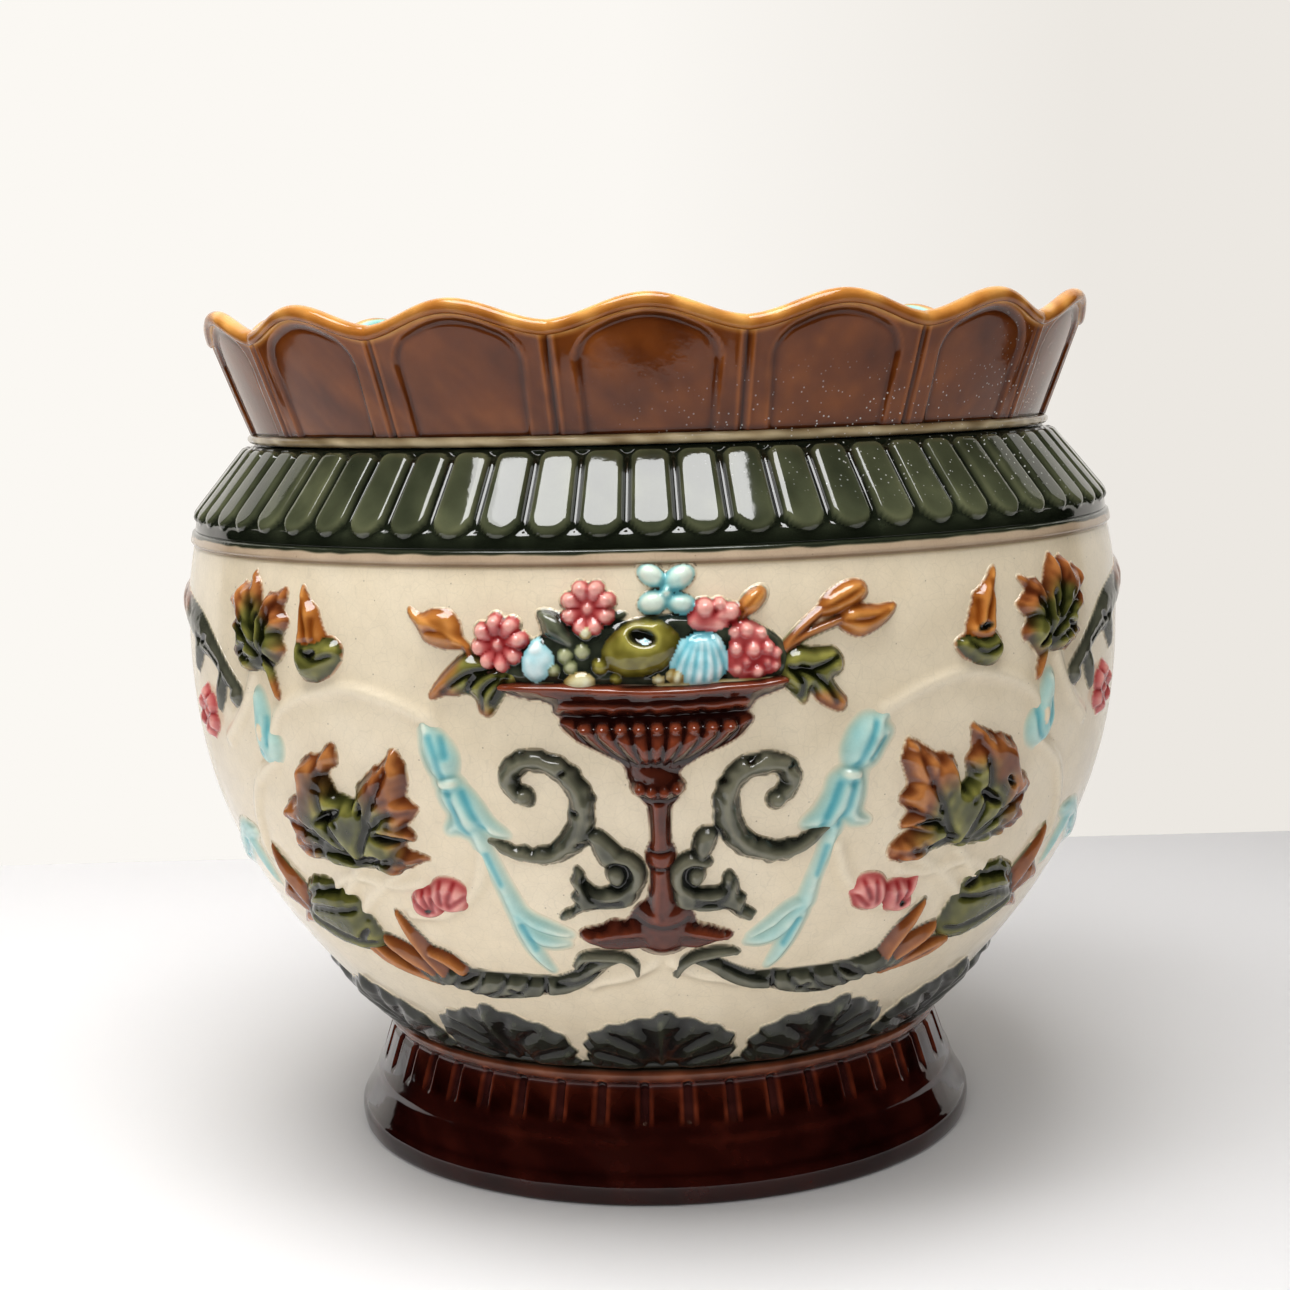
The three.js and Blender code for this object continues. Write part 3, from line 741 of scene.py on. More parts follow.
@dataclass(frozen=True)
class Cut:
    """How a sheet of relief meets the wall round its edge.

    Attributes:
        step: spacing of the sheet's points.
        skirt: width of the slip's skirt outside the outline.
        lip: height of the skirt where it leaves the outline.
        bleed: how far the colour runs past the outline.
        spread: how softly the colour ends there.
        seat: how far off the wall the sprig's back lies.
    """

    step: float = 0.6
    skirt: float = 1.5
    lip: float = 0.55
    bleed: float = 0.5
    spread: float = 0.4
    seat: float = -0.12


class Relief:
    """A sheet of relief drawn on the bowl's wall, from which a sprig's shell is cut."""

    OUTSIDE = -1e3  # how far inside an outline an empty sheet counts as
    SOFT_EDGE = 0.3  # half the width over which a mass rises at its outline
    GRAIN = 0.1  # unevenness of the pressed clay
    PLAIN_DEPTH = 0.46  # depth of the glaze on level relief
    BROAD, BROAD_POOL = 1.7, 0.36  # reach of broad hollows, and how much glaze pools there
    FINE, FINE_POOL = 0.9, 0.4  # the same for fine ones
    BACK_STEP, BACK_EDGE = 7, 3  # spacing of the back's points, and their distance from its edge

    def __init__(self, low: Point, high: Point, ground: Glaze, cut: Cut = Cut(), squeeze: float = 1.0) -> None:
        """Lay out an empty sheet.

        Args:
            low: the sheet's lowest across and up.
            high: its highest.
            ground: the glaze that the sprig starts from.
            cut: how it meets the wall.
            squeeze: how much narrower the wall is here than the drawing.
        """
        self.cut = cut
        self.squeeze = squeeze
        margin = cut.skirt + 3 * cut.step
        across = np.arange(low[0] * squeeze - margin, high[0] * squeeze + margin, cut.step)
        up = np.arange(low[1] - margin, high[1] + margin, cut.step)
        self.x, self.y = np.meshgrid(across, up, indexing="ij")
        self.inside = np.full(self.x.shape, self.OUTSIDE)
        self.height = np.zeros(self.x.shape)
        self.stain = np.zeros(self.x.shape)
        self.layers = layered(self.x.shape, ground)

    @classmethod
    def around(cls, lines: Sequence[Line], margins: Pair, ground: Glaze, cut: Cut) -> "Relief":
        """Lay out an empty sheet round some lines.

        Args:
            lines: the lines that it has to hold.
            margins: room below and before them, and above and after them.
            ground: the glaze that the sprig starts from.
            cut: how it meets the wall.

        Returns:
            The sheet.
        """
        points = [point for line in lines for point in line]
        low = tuple(min(point[k] for point in points) - margins[0] for k in (0, 1))
        high = tuple(max(point[k] for point in points) + margins[1] for k in (0, 1))
        return cls(low, high, ground, cut)

    def _drawn(self, points: Line) -> Array:
        """Points with their across squeezed to the wall."""
        rows = np.array(points, float)
        rows[:, 0] *= self.squeeze
        return rows

    def _window(self, low: Array, high: Array, margin: float) -> Window:
        """The part of the sheet round a box of the drawing."""
        step = self.cut.step
        first = np.floor((low[:2] - margin - (self.x[0, 0], self.y[0, 0])) / step).astype(int)
        last = np.ceil((high[:2] + margin - (self.x[0, 0], self.y[0, 0])) / step).astype(int) + 1
        return tuple(slice(max(a, 0), max(b, 1)) for a, b in zip(first, last))

    def _raise(self, where: Window, inside: Array, rise: Array, glaze: Glaze | None) -> None:
        """Keep the higher of the sheet and a new mass, with the mass's glaze where it wins."""
        rise = rise * ease(inside, -self.SOFT_EDGE, self.SOFT_EDGE)
        wins = (inside > -self.SOFT_EDGE) & (rise >= self.height[where])
        self.height[where] = np.where(wins, rise, self.height[where])
        self.stain[where] = np.where(wins, 0, self.stain[where])
        self.inside[where] = np.maximum(self.inside[where], inside)
        if glaze:
            for layer, new in zip(self.layers, glaze.layers()):
                layer[where] = np.where(wins[..., None], new, layer[where])

    def mass(
        self,
        outline: Line,
        height: float,
        edge: float = 3.0,
        glaze: Glaze | None = None,
        crown: float = 0.0,
        under: float = 0.0,
        ragged: float = 0.0,
    ) -> None:
        """Raise a rounded mass inside an outline.

        Args:
            outline: the outline's points.
            height: how far it stands off the wall.
            edge: how far in from the outline it reaches that height.
            glaze: its glaze, or the sheet's own.
            crown: further height towards its middle.
            under: height that its edge starts from.
            ragged: how much its outline wanders.
        """
        line = smooth_line(self._drawn(outline), closed=True)
        where = self._window(line.min(0), line.max(0), 4)
        x, y = self.x[where], self.y[where]
        if ragged:
            x = x + ragged * drift(x, y, 3.1, 3)
            y = y + ragged * drift(x, y, 2.7, 9)
        inside = outline_distance(x, y, line)
        deepest = max(float(inside.max()), 1e-6)
        rise = under + (height - under) * swell(inside / edge) + crown * ease(inside, 0, deepest)
        self._raise(where, inside, rise, glaze)

    def band(
        self,
        stations: Line,
        height: float,
        glaze: Glaze | None = None,
        flat: float = 1.0,
        under: float = 0.0,
        ragged: float = 0.0,
    ) -> None:
        """Raise a rounded band along a line of across, up and half width.

        Args:
            stations: the line's stations.
            height: the band's height where it is widest.
            glaze: its glaze, or the sheet's own.
            flat: 1 for a half-round band, less for a flatter top.
            under: height that its edge starts from.
            ragged: how much its edge wanders.
        """
        line = smooth_line(self._drawn(stations))
        widest = line[:, 2].max()
        where = self._window(line.min(0), line.max(0), widest + 4)
        x, y = self.x[where], self.y[where]
        if ragged:
            x = x + ragged * drift(x, y, 2.6, 4)
            y = y + ragged * drift(x, y, 2.9, 7)
        inside, half = line_distance(x, y, line)
        share = inside / np.maximum(half * flat, 1e-6)
        rise = under + height * swell(share) * np.sqrt(np.clip(half / widest, 0, 1))
        self._raise(where, inside, rise, glaze)

    def _oval(self, at: Point, size: Point, tilt: float) -> tuple[Window, Array]:
        """The sheet's part round an oval, and how far out each point lies, 1 on the oval's edge."""
        middle = self._drawn([at])[0]
        where = self._window(middle, middle, size[0] + 3)
        x, y = self.x[where] - middle[0], self.y[where] - middle[1]
        turn = math.radians(tilt)
        along = x * math.cos(turn) + y * math.sin(turn)
        aside = y * math.cos(turn) - x * math.sin(turn)
        return where, np.hypot(along / size[0], aside / size[1])

    def bead(
        self, at: Point, size: float | Point, height: float, glaze: Glaze | None = None, tilt: float = 0.0
    ) -> None:
        """Raise a round or oval bead.

        Args:
            at: its middle.
            size: its radius, or its two half sizes.
            height: its height off the wall.
            glaze: its glaze, or the sheet's own.
            tilt: how far an oval is turned, in degrees.
        """
        halves = size if isinstance(size, tuple) else (size, size)
        where, reach = self._oval(at, halves, tilt)
        self._raise(where, (1 - reach) * halves[1], height * np.clip(1 - reach**2, 0, 1) ** 0.62, glaze)

    def flower(self, at: Point, radius: float, petals: int, height: float, glaze: Glaze, start: float) -> None:
        """Raise an open flower with a bead at its heart.

        Args:
            at: its middle.
            radius: its radius.
            petals: how many petals it has.
            height: its height off the wall.
            glaze: its glaze.
            start: the first petal's direction, in degrees.
        """
        middle = self._drawn([at])[0]
        where = self._window(middle, middle, radius + 3)
        x, y = self.x[where] - middle[0], self.y[where] - middle[1]
        reach = np.hypot(x, y) / radius
        turn = np.arctan2(y, x) - math.radians(start)
        petal = np.abs(np.cos(petals * turn / 2))
        edge = 0.74 + 0.26 * petal**0.55
        cup = 0.45 + 0.55 * ease(reach, 0.15, 0.75)
        rise = height * cup * swell((edge - reach) * 3.2) * (0.66 + 0.34 * petal**0.7)
        self._raise(where, (edge - reach) * radius, rise, glaze)
        seam = ease(1 - petal, 0.6, 1) * ease(reach, 0.15, 0.4)
        self.stain[where] += np.where(reach < edge, 0.55 * seam, 0)
        self.bead(at, radius * 0.24, height * 0.86, glaze)

    def _marked(self, line: Line, width: float) -> tuple[Window, Array]:
        """How near each point of the sheet lies to a drawn line, 1 on it."""
        drawn = smooth_line(np.column_stack((self._drawn(line)[:, :2], np.zeros(len(line)))))
        where = self._window(drawn.min(0), drawn.max(0), 3 * width)
        inside, _ = line_distance(self.x[where], self.y[where], drawn)
        return where, bell(-inside, width)

    def groove(self, line: Line, width: float = 0.8, depth: float = 0.7, stain: float = 0.5) -> None:
        """Press a groove along a line, with glaze pooled in it."""
        where, near = self._marked(line, width)
        self.height[where] -= near * np.minimum(depth, self.height[where] * 0.7)
        self.stain[where] += near * stain

    def ridge(self, line: Line, width: float = 0.7, rise: float = 0.5, stain: float = -0.3) -> None:
        """Raise a thin ridge along a line, with the glaze broken thin over it."""
        where, near = self._marked(line, width)
        self.height[where] += near * rise * (self.inside[where] > 0)
        self.stain[where] += near * stain

    def tint(self, glaze: Glaze, at: Point, near: float, far: float) -> None:
        """Let another glaze take over away from a point, or towards it where near is the larger.

        Args:
            glaze: the other glaze.
            at: the point that the distance is measured from.
            near: the distance at which it starts.
            far: the distance at which it has taken over.
        """
        middle = self._drawn([at])[0]
        reach = np.hypot(self.x - middle[0], self.y - middle[1]) + 3.5 * drift(self.x, self.y, 6.5, at[0])
        self.layers = shift_to(self.layers, glaze, ease(reach, near, far))

    def hole(self, at: Point, size: Point, tilt: float, depth: float) -> None:
        """Press an oval pocket, painted near-black: pooled glaze and painted shade deep in it.

        Args:
            at: its middle.
            size: its two half sizes.
            tilt: how far it is turned, in degrees.
            depth: how deep it is.
        """
        where, reach = self._oval(at, size, tilt)
        near = ease(reach, 1.25, 0.6)
        self.height[where] -= near * np.minimum(depth, self.height[where] * 0.8)
        dark = shift_to(tuple(layer[where] for layer in self.layers), POCKET_SHADE, near)
        for layer, new in zip(self.layers, dark):
            layer[where] = new

    def _finished(self) -> Arrays:
        """The sheet's last heights with their skirt, and its colours with their bleed."""
        cut = self.cut
        edge = soften(np.clip(self.inside, -4, 4), (cut.step, cut.step), cut.step * 0.7)
        grain = self.GRAIN * drift(self.x, self.y, 2.3, 5)
        fall = np.clip(1 + np.minimum(edge, 0) / cut.skirt, 0, 1) ** 2
        height = soften(np.maximum(self.height, 0), (cut.step, cut.step), 0.5)
        height = height + cut.lip * fall + grain * (self.height > 1)
        hollow = soften(height, (cut.step, cut.step), self.BROAD) - height
        finer = soften(height, (cut.step, cut.step), self.FINE) - height
        wander = 0.12 * drift(self.x, self.y, 9, 1) + 0.07 * drift(self.x, self.y, 3.3, 2)
        depth = self.PLAIN_DEPTH + self.BROAD_POOL * hollow + self.FINE_POOL * finer + self.stain + wander
        colour = mixed(*self.layers, depth)
        body = mixed(*layered(self.x.shape, CREAM), 0.12 + 0.3 * np.clip(hollow, 0, 1))
        share = ease(edge, -cut.bleed - cut.spread, cut.spread - cut.bleed)[..., None]
        return height, np.exp(np.log(body) * (1 - share) + np.log(colour) * share)

    def shell(self) -> Shell:
        """Cut the sheet out along its skirt and close it with a back that lies in the wall.

        Returns:
            The closed shell, turned to the front.
        """
        cut = self.cut
        height, colour = self._finished()
        reach = self.inside + cut.skirt
        kept = (reach[:-1, :-1] + reach[1:, :-1] + reach[1:, 1:] + reach[:-1, 1:]) / 4 > 0
        kept &= np.minimum(reach[:-1, :-1], reach[1:, 1:]) > -2 * cut.step
        kept &= np.minimum(reach[1:, :-1], reach[:-1, 1:]) > -2 * cut.step
        rows = self.x.shape[1]
        column, row = np.nonzero(kept)
        quads = np.stack(
            (column * rows + row, (column + 1) * rows + row, (column + 1) * rows + row + 1, column * rows + row + 1),
            axis=-1,
        )
        used, flat = np.unique(quads, return_inverse=True)
        quads = flat.reshape(-1, 4)
        sides = np.concatenate([quads[:, [k, (k + 1) % 4]] for k in range(4)])
        keys = np.sort(sides, axis=1)
        _, first, counts = np.unique(keys, axis=0, return_index=True, return_counts=True)
        border = sides[first[counts == 1]]
        rim = np.unique(border)
        x, y = self.x.ravel()[used].copy(), self.y.ravel()[used].copy()
        slope_x, slope_y = np.gradient(reach, cut.step)
        gx, gy = slope_x.ravel()[used][rim], slope_y.ravel()[used][rim]
        size = np.maximum(np.hypot(gx, gy), 0.5)
        away = np.clip(reach.ravel()[used][rim], -1.4 * cut.step, 1.4 * cut.step)
        x[rim] -= away * gx / size**2
        y[rim] -= away * gy / size**2
        lift = height.ravel()[used]
        lift[rim] = cut.seat
        front = WALL.place(x / self.squeeze, y, lift)
        glaze = colour.reshape(-1, 3)[used]
        coarse = max(int(round(self.BACK_STEP / cut.step)), 1)
        on_grid = (used // rows % coarse == 0) & (used % rows % coarse == 0)
        middles = np.nonzero((reach.ravel()[used] > self.BACK_EDGE) & on_grid)[0]
        flat_points = [Vector((x[i], y[i])) for i in np.concatenate((rim, middles))]
        index = {int(v): k for k, v in enumerate(rim)}
        lines = [(index[int(a)], index[int(b)]) for a, b in border]
        found, _, triangles, sources, _, _ = delaunay_2d_cdt(flat_points, lines, [], 1, 1e-5)
        back_of = []
        extra_x, extra_y = [], []
        for place, source in zip(found, sources):
            known = [k for k in source if k < len(rim)]
            if known:
                back_of.append(int(rim[known[0]]))
            else:
                back_of.append(len(used) + len(extra_x))
                extra_x.append(place.x)
                extra_y.append(place.y)
        back_of = np.array(back_of)
        plane = np.array([(p.x, p.y) for p in found])
        tris = np.array([t for t in triangles if len(t) == 3])
        centre = plane[tris].mean(axis=1)
        ci = np.clip(((centre[:, 0] - self.x[0, 0]) / cut.step).astype(int), 0, kept.shape[0] - 1)
        cj = np.clip(((centre[:, 1] - self.y[0, 0]) / cut.step).astype(int), 0, kept.shape[1] - 1)
        spot = reach[ci, cj]
        tris = back_of[tris[(spot > -cut.step) | kept[ci, cj]]][:, ::-1]
        back = WALL.place(np.array(extra_x) / self.squeeze, np.array(extra_y), np.full(len(extra_x), cut.seat))
        places = np.vstack((front, back)) if len(extra_x) else front
        shade = np.vstack((glaze, np.tile(glaze.mean(axis=0), (len(extra_x), 1)))) if len(extra_x) else glaze
        a, b, c, d = quads.T
        across_bd = (np.abs(lift[a] - lift[c]) > np.abs(lift[b] - lift[d]))[:, None]
        first_half = np.where(across_bd, np.stack((b, c, d), axis=1), np.stack((a, b, c), axis=1))
        other_half = np.where(across_bd, np.stack((b, d, a), axis=1), np.stack((a, c, d), axis=1))
        return Shell(places, [np.concatenate((first_half, other_half, tris))], shade)


# ---------------------------------------------------------------- the thrown rings


def even_angles(count: int) -> Array:
    """The angles of a number of even columns round the pot."""
    return np.arange(count) / count * TAU


def aside_of(angles: Array, count: int, shift: float = 0.0) -> Array:
    """How far each angle lies from the nearest of a number of even repeats.

    Args:
        angles: the angles.
        count: how many repeats go round.
        shift: share of a pitch by which the repeats are moved.

    Returns:
        The angle from the nearest repeat's middle.
    """
    pitch = TAU / count
    return (angles / pitch - shift + 0.5) % 1 * pitch - pitch / 2


RING_BROAD, RING_FINE = 1.9, 0.9  # reach of a ring's broad and fine hollows


def ring_depth(height: Array, step: Pair, broad: float, fine: float) -> Array:
    """How deep the glaze pools by the hollows of a ring's relief.

    Args:
        height: relief at each column and row.
        step: spacing of the columns and rows.
        broad: weight of the broad hollows.
        fine: weight of the fine ones.

    Returns:
        The added depth.
    """
    padded = np.concatenate((height[:, ::-1], height, height[:, ::-1]), axis=1)
    rows = height.shape[1]
    wide = soften(padded, step, RING_BROAD)[:, rows : 2 * rows] - height
    near = soften(padded, step, RING_FINE)[:, rows : 2 * rows] - height
    return broad * wide + fine * near


def lining(
    angles: Array, radius: Array, height: Array, patchy: float, size: float = 26, foot: float = 0.0
) -> Part:
    """The turquoise lining of a ring.

    Args:
        angles: the ring's columns.
        radius: its rows' radius.
        height: its rows' height above the ring's foot.
        patchy: how much the glaze's depth wanders.
        size: size of its blotches.
        foot: height of the ring's foot.

    Returns:
        The lining as a part of the ring's section.
    """
    depth = 0.25 + patchy * round_drift(angles, height, size, 7)
    return radius, height + foot, mixed(*layered(depth.shape, INNER_TURQUOISE), depth)


def bearing(angles: Array) -> Array:
    """How far each column stands round from the front, negative to the left."""
    return (angles + math.pi) % TAU - math.pi


@dataclass
class Foot:
    """The spreading foot: bottom band, glossy slope, fluted waist and bead, hollow underneath."""

    height: float = 47.0
    base_radius: float = 107.5
    spread: float = 14.5
    band_height: float = 9.5
    slope_top: float = 26.0
    slope_radius: float = 113.0
    waist_radius: float = 108.5
    waist_top: float = 39.5
    bead_proud: float = 2.9
    flutes: int = 44
    flute_half: float = 1.95
    flute_foot: float = 27.0
    flute_head: float = 38.6
    flute_depth: float = 1.5
    wall: float = 8.0
    columns_per_flute: int = 22
    row_step: float = 0.7
    slope_line: float = 21.6

    def profile(self) -> Array:
        """The outside of the section, from the resting face up to the bowl."""
        outer = self.base_radius + self.spread
        stations = [
            (outer - 3.0, 0.0), (outer - 1.2, 0.5), (outer - 0.4, 2.0), (outer, 5.0), (outer - 0.1, 7.4),
            (outer - 0.8, self.band_height - 0.3), (outer - 1.7, self.band_height + 0.9),
        ]
        for share in (0.18, 0.36, 0.54, 0.7, 0.85):
            radius = outer - 1.6 + (self.slope_radius - outer + 1.6) * share**0.85
            stations.append((radius, 10.5 + (self.slope_top - 10.5) * share))
        for share in (0.06, 0.3, 0.6, 0.9):
            radius = self.slope_radius + (self.waist_radius - self.slope_radius) * share
            stations.append((radius, self.slope_top + (self.waist_top - self.slope_top) * share))
        stations += [
            (self.waist_radius, self.waist_top + 0.4), (self.base_radius + 1.5, self.waist_top + 1.7),
            (self.base_radius + self.bead_proud - 0.3, 43.0), (self.base_radius + self.bead_proud, 44.7),
            (self.base_radius + 1.8, 46.3), (self.base_radius, self.height),
        ]
        line = smooth_line(stations, detail=10)
        length = np.concatenate(([0], np.cumsum(np.hypot(*np.diff(line, axis=0).T))))
        even = np.linspace(0, length[-1], int(length[-1] / self.row_step))
        return np.column_stack((np.interp(even, length, line[:, 0]), np.interp(even, length, line[:, 1])))

    def waist(self, level: Array) -> Array:
        """Where the fluted waist is, 1 from its foot up and 0 below."""
        return ease(level, self.flute_foot - 1.6, self.flute_foot + 2.6)

    def carving(self, angles: Array, level: Array) -> Arrays:
        """Carve the flutes, the strip over them and the soft line round the slope.

        Args:
            angles: the columns.
            level: height of the rows.

        Returns:
            The relief, and how far inside a flute each point lies.
        """
        aside = np.abs(aside_of(angles, self.flutes, 0.5))[:, None] * self.waist_radius
        over = np.maximum(level - self.flute_head - 0.6, 0)
        inside = self.flute_half - np.hypot(aside, over * 0.8)
        waist = self.waist(level)
        relief = -self.flute_depth * ease(inside, -0.3, 0.8) * waist
        relief -= 0.5 * ease(level, self.flute_head - 0.3, self.flute_head + 0.7) * ease(level, 42, 40.5)
        relief += 0.1 * bell(inside + 0.8, 0.6) * waist
        relief += 0.45 * bell(level - self.slope_line, 1.9)
        relief += 0.1 * round_drift(angles, level, 13, 4)
        return relief, inside

    def glazing(self, angles: Array, level: Array, relief: Array, inside: Array) -> Array:
        """Lay the brown glazes, pooled in the flutes and broken thin on the bead, with painted reflections and
        highlights on the fluted waist.

        Args:
            angles: the columns.
            level: height of the rows.
            relief: the carved relief.
            inside: how far inside a flute each point lies.

        Returns:
            The colours.
        """
        waist = self.waist(level)
        step = (TAU * self.waist_radius / len(angles), self.row_step)
        depth = 0.72 + ring_depth(relief, step, 0.3, 0.3)
        depth += 0.2 * round_drift(angles, level, 17, 6) + 0.1 * round_drift(angles, level * 2, 6, 8)
        # a paler line along each flute's edge: glaze broken thin there, plus a painted highlight
        depth -= 0.34 * bell(inside + 0.5, 0.34) * waist
        # the blocks between the flutes are darkened as a painted dark reflection
        block_dark_reflection = ease(inside, -0.8, -2.0) * waist * ease(level, self.flute_head + 1.6, self.flute_head - 0.4)
        depth += 0.4 * block_dark_reflection * ease(level, self.flute_head, self.flute_foot)
        # the flutes and the strip over them are painted paler and purple-brown as a painted reflection
        lintel_sheen = ease(level, self.flute_head - 0.2, self.flute_head + 1.0) * ease(level, 41.6, 40.6)
        depth -= 0.3 * np.maximum(lintel_sheen, ease(inside, -0.2, 0.5) * waist)
        layers = layered(relief.shape, FOOT_BROWN)
        layers = shift_to(layers, FOOT_SHEEN_BROWN, np.maximum(lintel_sheen, 0.85 * ease(inside, -0.2, 0.4) * waist))
        layers = shift_to(layers, FOOT_SLOPE, ease(level, 27.4, 25.6))
        bead = bell(level - 44.2, 2.4)
        layers = shift_to(layers, FOOT_BEAD, bead)
        layers = shift_to(layers, PALMETTE_GREEN, 0.8 * ease(level, 45.4, 46.6))
        depth -= 0.3 * bead + 0.2 * bell(level - 21.8, 1.9) * ease(round_drift(angles, level, 60, 3), -0.6, 0.6)
        depth += 0.2 * bell(level - 11.0, 0.9) + 0.2 * bell(level - 41.0, 0.6) + 0.5 * bell(level - 46.9, 0.6)
        warm = ease(round_drift(angles, level * 2, 26, 12), 0.3, 0.8) * ease(level, 9, 6)
        layers = shift_to(layers, FOOT_BEAD, 0.55 * warm)
        return mixed(*layers, depth)

    def hollow(self, angles: Array) -> Part:
        """The unglazed hollow under the bowl and the ring that the foot rests on."""
        inner = self.waist_radius - self.wall
        outer = self.base_radius + self.spread
        radius = [inner + 5.5, inner, inner, inner + 4.0, inner + 8.6, outer - 11.4, outer - 10.6, outer - 6]
        radius = np.array(radius)
        level = np.array([self.height, self.height - 1, self.height * 0.6, 16.0, 5.0, 0.5, 0.0, 0.0])
        depth = 0.4 + 0.2 * round_drift(angles, level, 9, 4)
        return radius, level, mixed(*layered(depth.shape, BISCUIT), depth)

    def build(self) -> bpy.types.Object:
        """Sweep the foot and lay its brown glazes.

        Returns:
            The piece.
        """
        angles = even_angles(self.flutes * self.columns_per_flute)
        radius, level = self.profile().T
        level = np.broadcast_to(level, (len(angles), len(level)))
        relief, inside = self.carving(angles, level)
        outside = (radius + relief, level, self.glazing(angles, level, relief, inside))
        foot = Sweep.of(angles, [outside, self.hollow(angles)]).shell()
        return foot.piece("foot_turned", CoatKind.FOOT, "foot")


@dataclass
class Bowl:
    """The bowl: cream outside with faint raised tendrils and a ledge, turquoise inside."""

    wall: float = 8.0
    floor: float = 9.0
    ledge_foot: float = 207.0
    ledge_proud: float = 1.5
    columns: int = 720
    row_step: float = 1.5
    ledge_rows_from: float = 203.0

    TENDRILS = (
        [(76, 157), (92, 163), (110, 166), (128, 163), (143, 156), (150, 146)],
        [(62, 112), (68, 98), (84, 86), (100, 84)],
        [(90, 98), (104, 96), (124, 97), (140, 88), (148, 82)],
        [(96, 103), (112, 93), (126, 82), (133, 72)],
        [(116, 103), (126, 94), (136, 84)],
        [(150, 138), (166, 128), (176, 112), (180, 98)],
        [(158, 168), (164, 158), (172, 150), (184, 142)],
        [(4, 66), (14, 60), (26, 57), (30, 55)],
    )

    def drawn_across(self, angles: Array) -> Array:
        """Each angle's distance from the nearer tazza's axis, in the drawing's millimetres."""
        return np.abs(aside_of(angles, 2)) * WALL.drawn_radius

    def tendrils(self, across: Array, up: Array) -> Array:
        """Relief of the faint cream stems that link the sprigs."""
        rise = np.zeros(np.broadcast(across, up).shape)
        across, up = np.broadcast_arrays(across, up)
        for stem in self.TENDRILS:
            line = smooth_line([(x, y, 0.0) for x, y in stem])
            low, high = line.min(0) - 9, line.max(0) + 9
            where = (across > low[0]) & (across < high[0]) & (up > low[1]) & (up < high[1])
            near, _ = line_distance(across[where], up[where], line)
            rise[where] = np.maximum(rise[where], 1.5 * bell(near, 2.1))
        return rise

    def ledge(self, up: Array) -> Array:
        """Relief of the plain ledge round the top, with the nick under it."""
        ledge = self.ledge_proud * quarter_round((up - self.ledge_foot) / 1.4) * (up > self.ledge_foot)
        ledge = ledge - 0.5 * bell(up - self.ledge_foot + 0.3, 0.6) * (up <= self.ledge_foot + 0.3)
        return ledge - 0.9 * ease(up, 211.2, 212)

    def glazing(self, angles: Array, up: Array, relief: Array) -> Array:
        """Lay the cream glaze, with the olive run over the ledge, a dark line of pooled glaze and painted shadow
        under the ledge, and the green seeped in at the foot.

        Args:
            angles: the columns.
            up: drawn distance of the rows up the wall.
            relief: the wall's relief.

        Returns:
            The colours.
        """
        step = (TAU * WANDER_RADIUS / self.columns, self.row_step)
        depth = 0.1 + ring_depth(relief, step, 0.35, 0.0)
        depth += 0.08 * round_drift(angles, up, 31, 8) + 0.05 * round_drift(angles, up, 9, 9)
        layers = layered(relief.shape, CREAM)
        layers = shift_to(layers, LEDGE_CREAM, ease(up, 206.2, 207.4) * np.ones_like(relief))
        # the dark line in the nick under the ledge is pooled glaze together with a painted shadow cast by the ledge
        depth = depth + 0.75 * bell(up - 206.9, 0.7) + 0.2 * (up > 207)
        over_ledge = ease(up + 0.35 * round_drift(angles, up, 6, 5), 210.0, 210.7)
        layers = shift_to(layers, OLIVE, over_ledge)
        depth = depth + 0.5 * over_ledge
        seep = bell(up - 2.2, 3.6) * (0.5 + 0.5 * round_drift(angles, up, 7, 2))
        layers = shift_to(layers, PALMETTE_GREEN, 0.75 * np.clip(seep, 0, 1))
        return mixed(*layers, depth)

    def inside(self, angles: Array) -> Part:
        """The turquoise inside, from the top down over the floor, and the dry clay under it."""
        up = np.linspace(WALL.height, self.floor + self.wall, 34)
        radius = WALL.radius_at(up) - self.wall * np.hypot(1, np.gradient(WALL.radius_at(up), up))
        floor_radius = np.array([100.0, 93.0, 84.0, 66.0, 44.0, 22.0, 0.02])
        floor_level = self.floor + np.array([2.6, 0.9, 0.2, 0, 0, 0, 0])
        under_radius = np.array([0.02, 60.0, 100.0, 105.5])
        radius = np.concatenate((radius, floor_radius, under_radius))
        level = WALL.base_level + np.concatenate((up, floor_level, np.zeros(4)))
        depth = 0.25 + 0.12 * round_drift(angles, level, 26, 7)
        dry = np.arange(len(level)) >= len(level) - len(under_radius)
        layers = layered(depth.shape, INNER_TURQUOISE)
        layers = shift_to(layers, BISCUIT, np.broadcast_to(dry.astype(float), depth.shape))
        return radius, level, mixed(*layers, depth)

    def build(self) -> bpy.types.Object:
        """Sweep the bowl with its ledge and lay its glazes.

        Returns:
            The piece.
        """
        angles = even_angles(self.columns)
        rows = np.linspace(self.ledge_rows_from, WALL.drawn_girth, 31)
        up = np.concatenate((np.arange(0, self.ledge_rows_from, self.row_step), rows))
        relief = self.tendrils(self.drawn_across(angles)[:, None], up[None, :])
        relief = relief + self.ledge(up)
        relief += 0.08 * round_drift(angles, up, 23, 3)
        radius, level = WALL.section(np.broadcast_to(up, relief.shape), relief)
        outside = (radius, level, self.glazing(angles, up, relief))
        bowl = Sweep.of(angles, [outside, self.inside(angles)]).shell()
        return bowl.piece("bowl_thrown", CoatKind.BODY, "bowl")


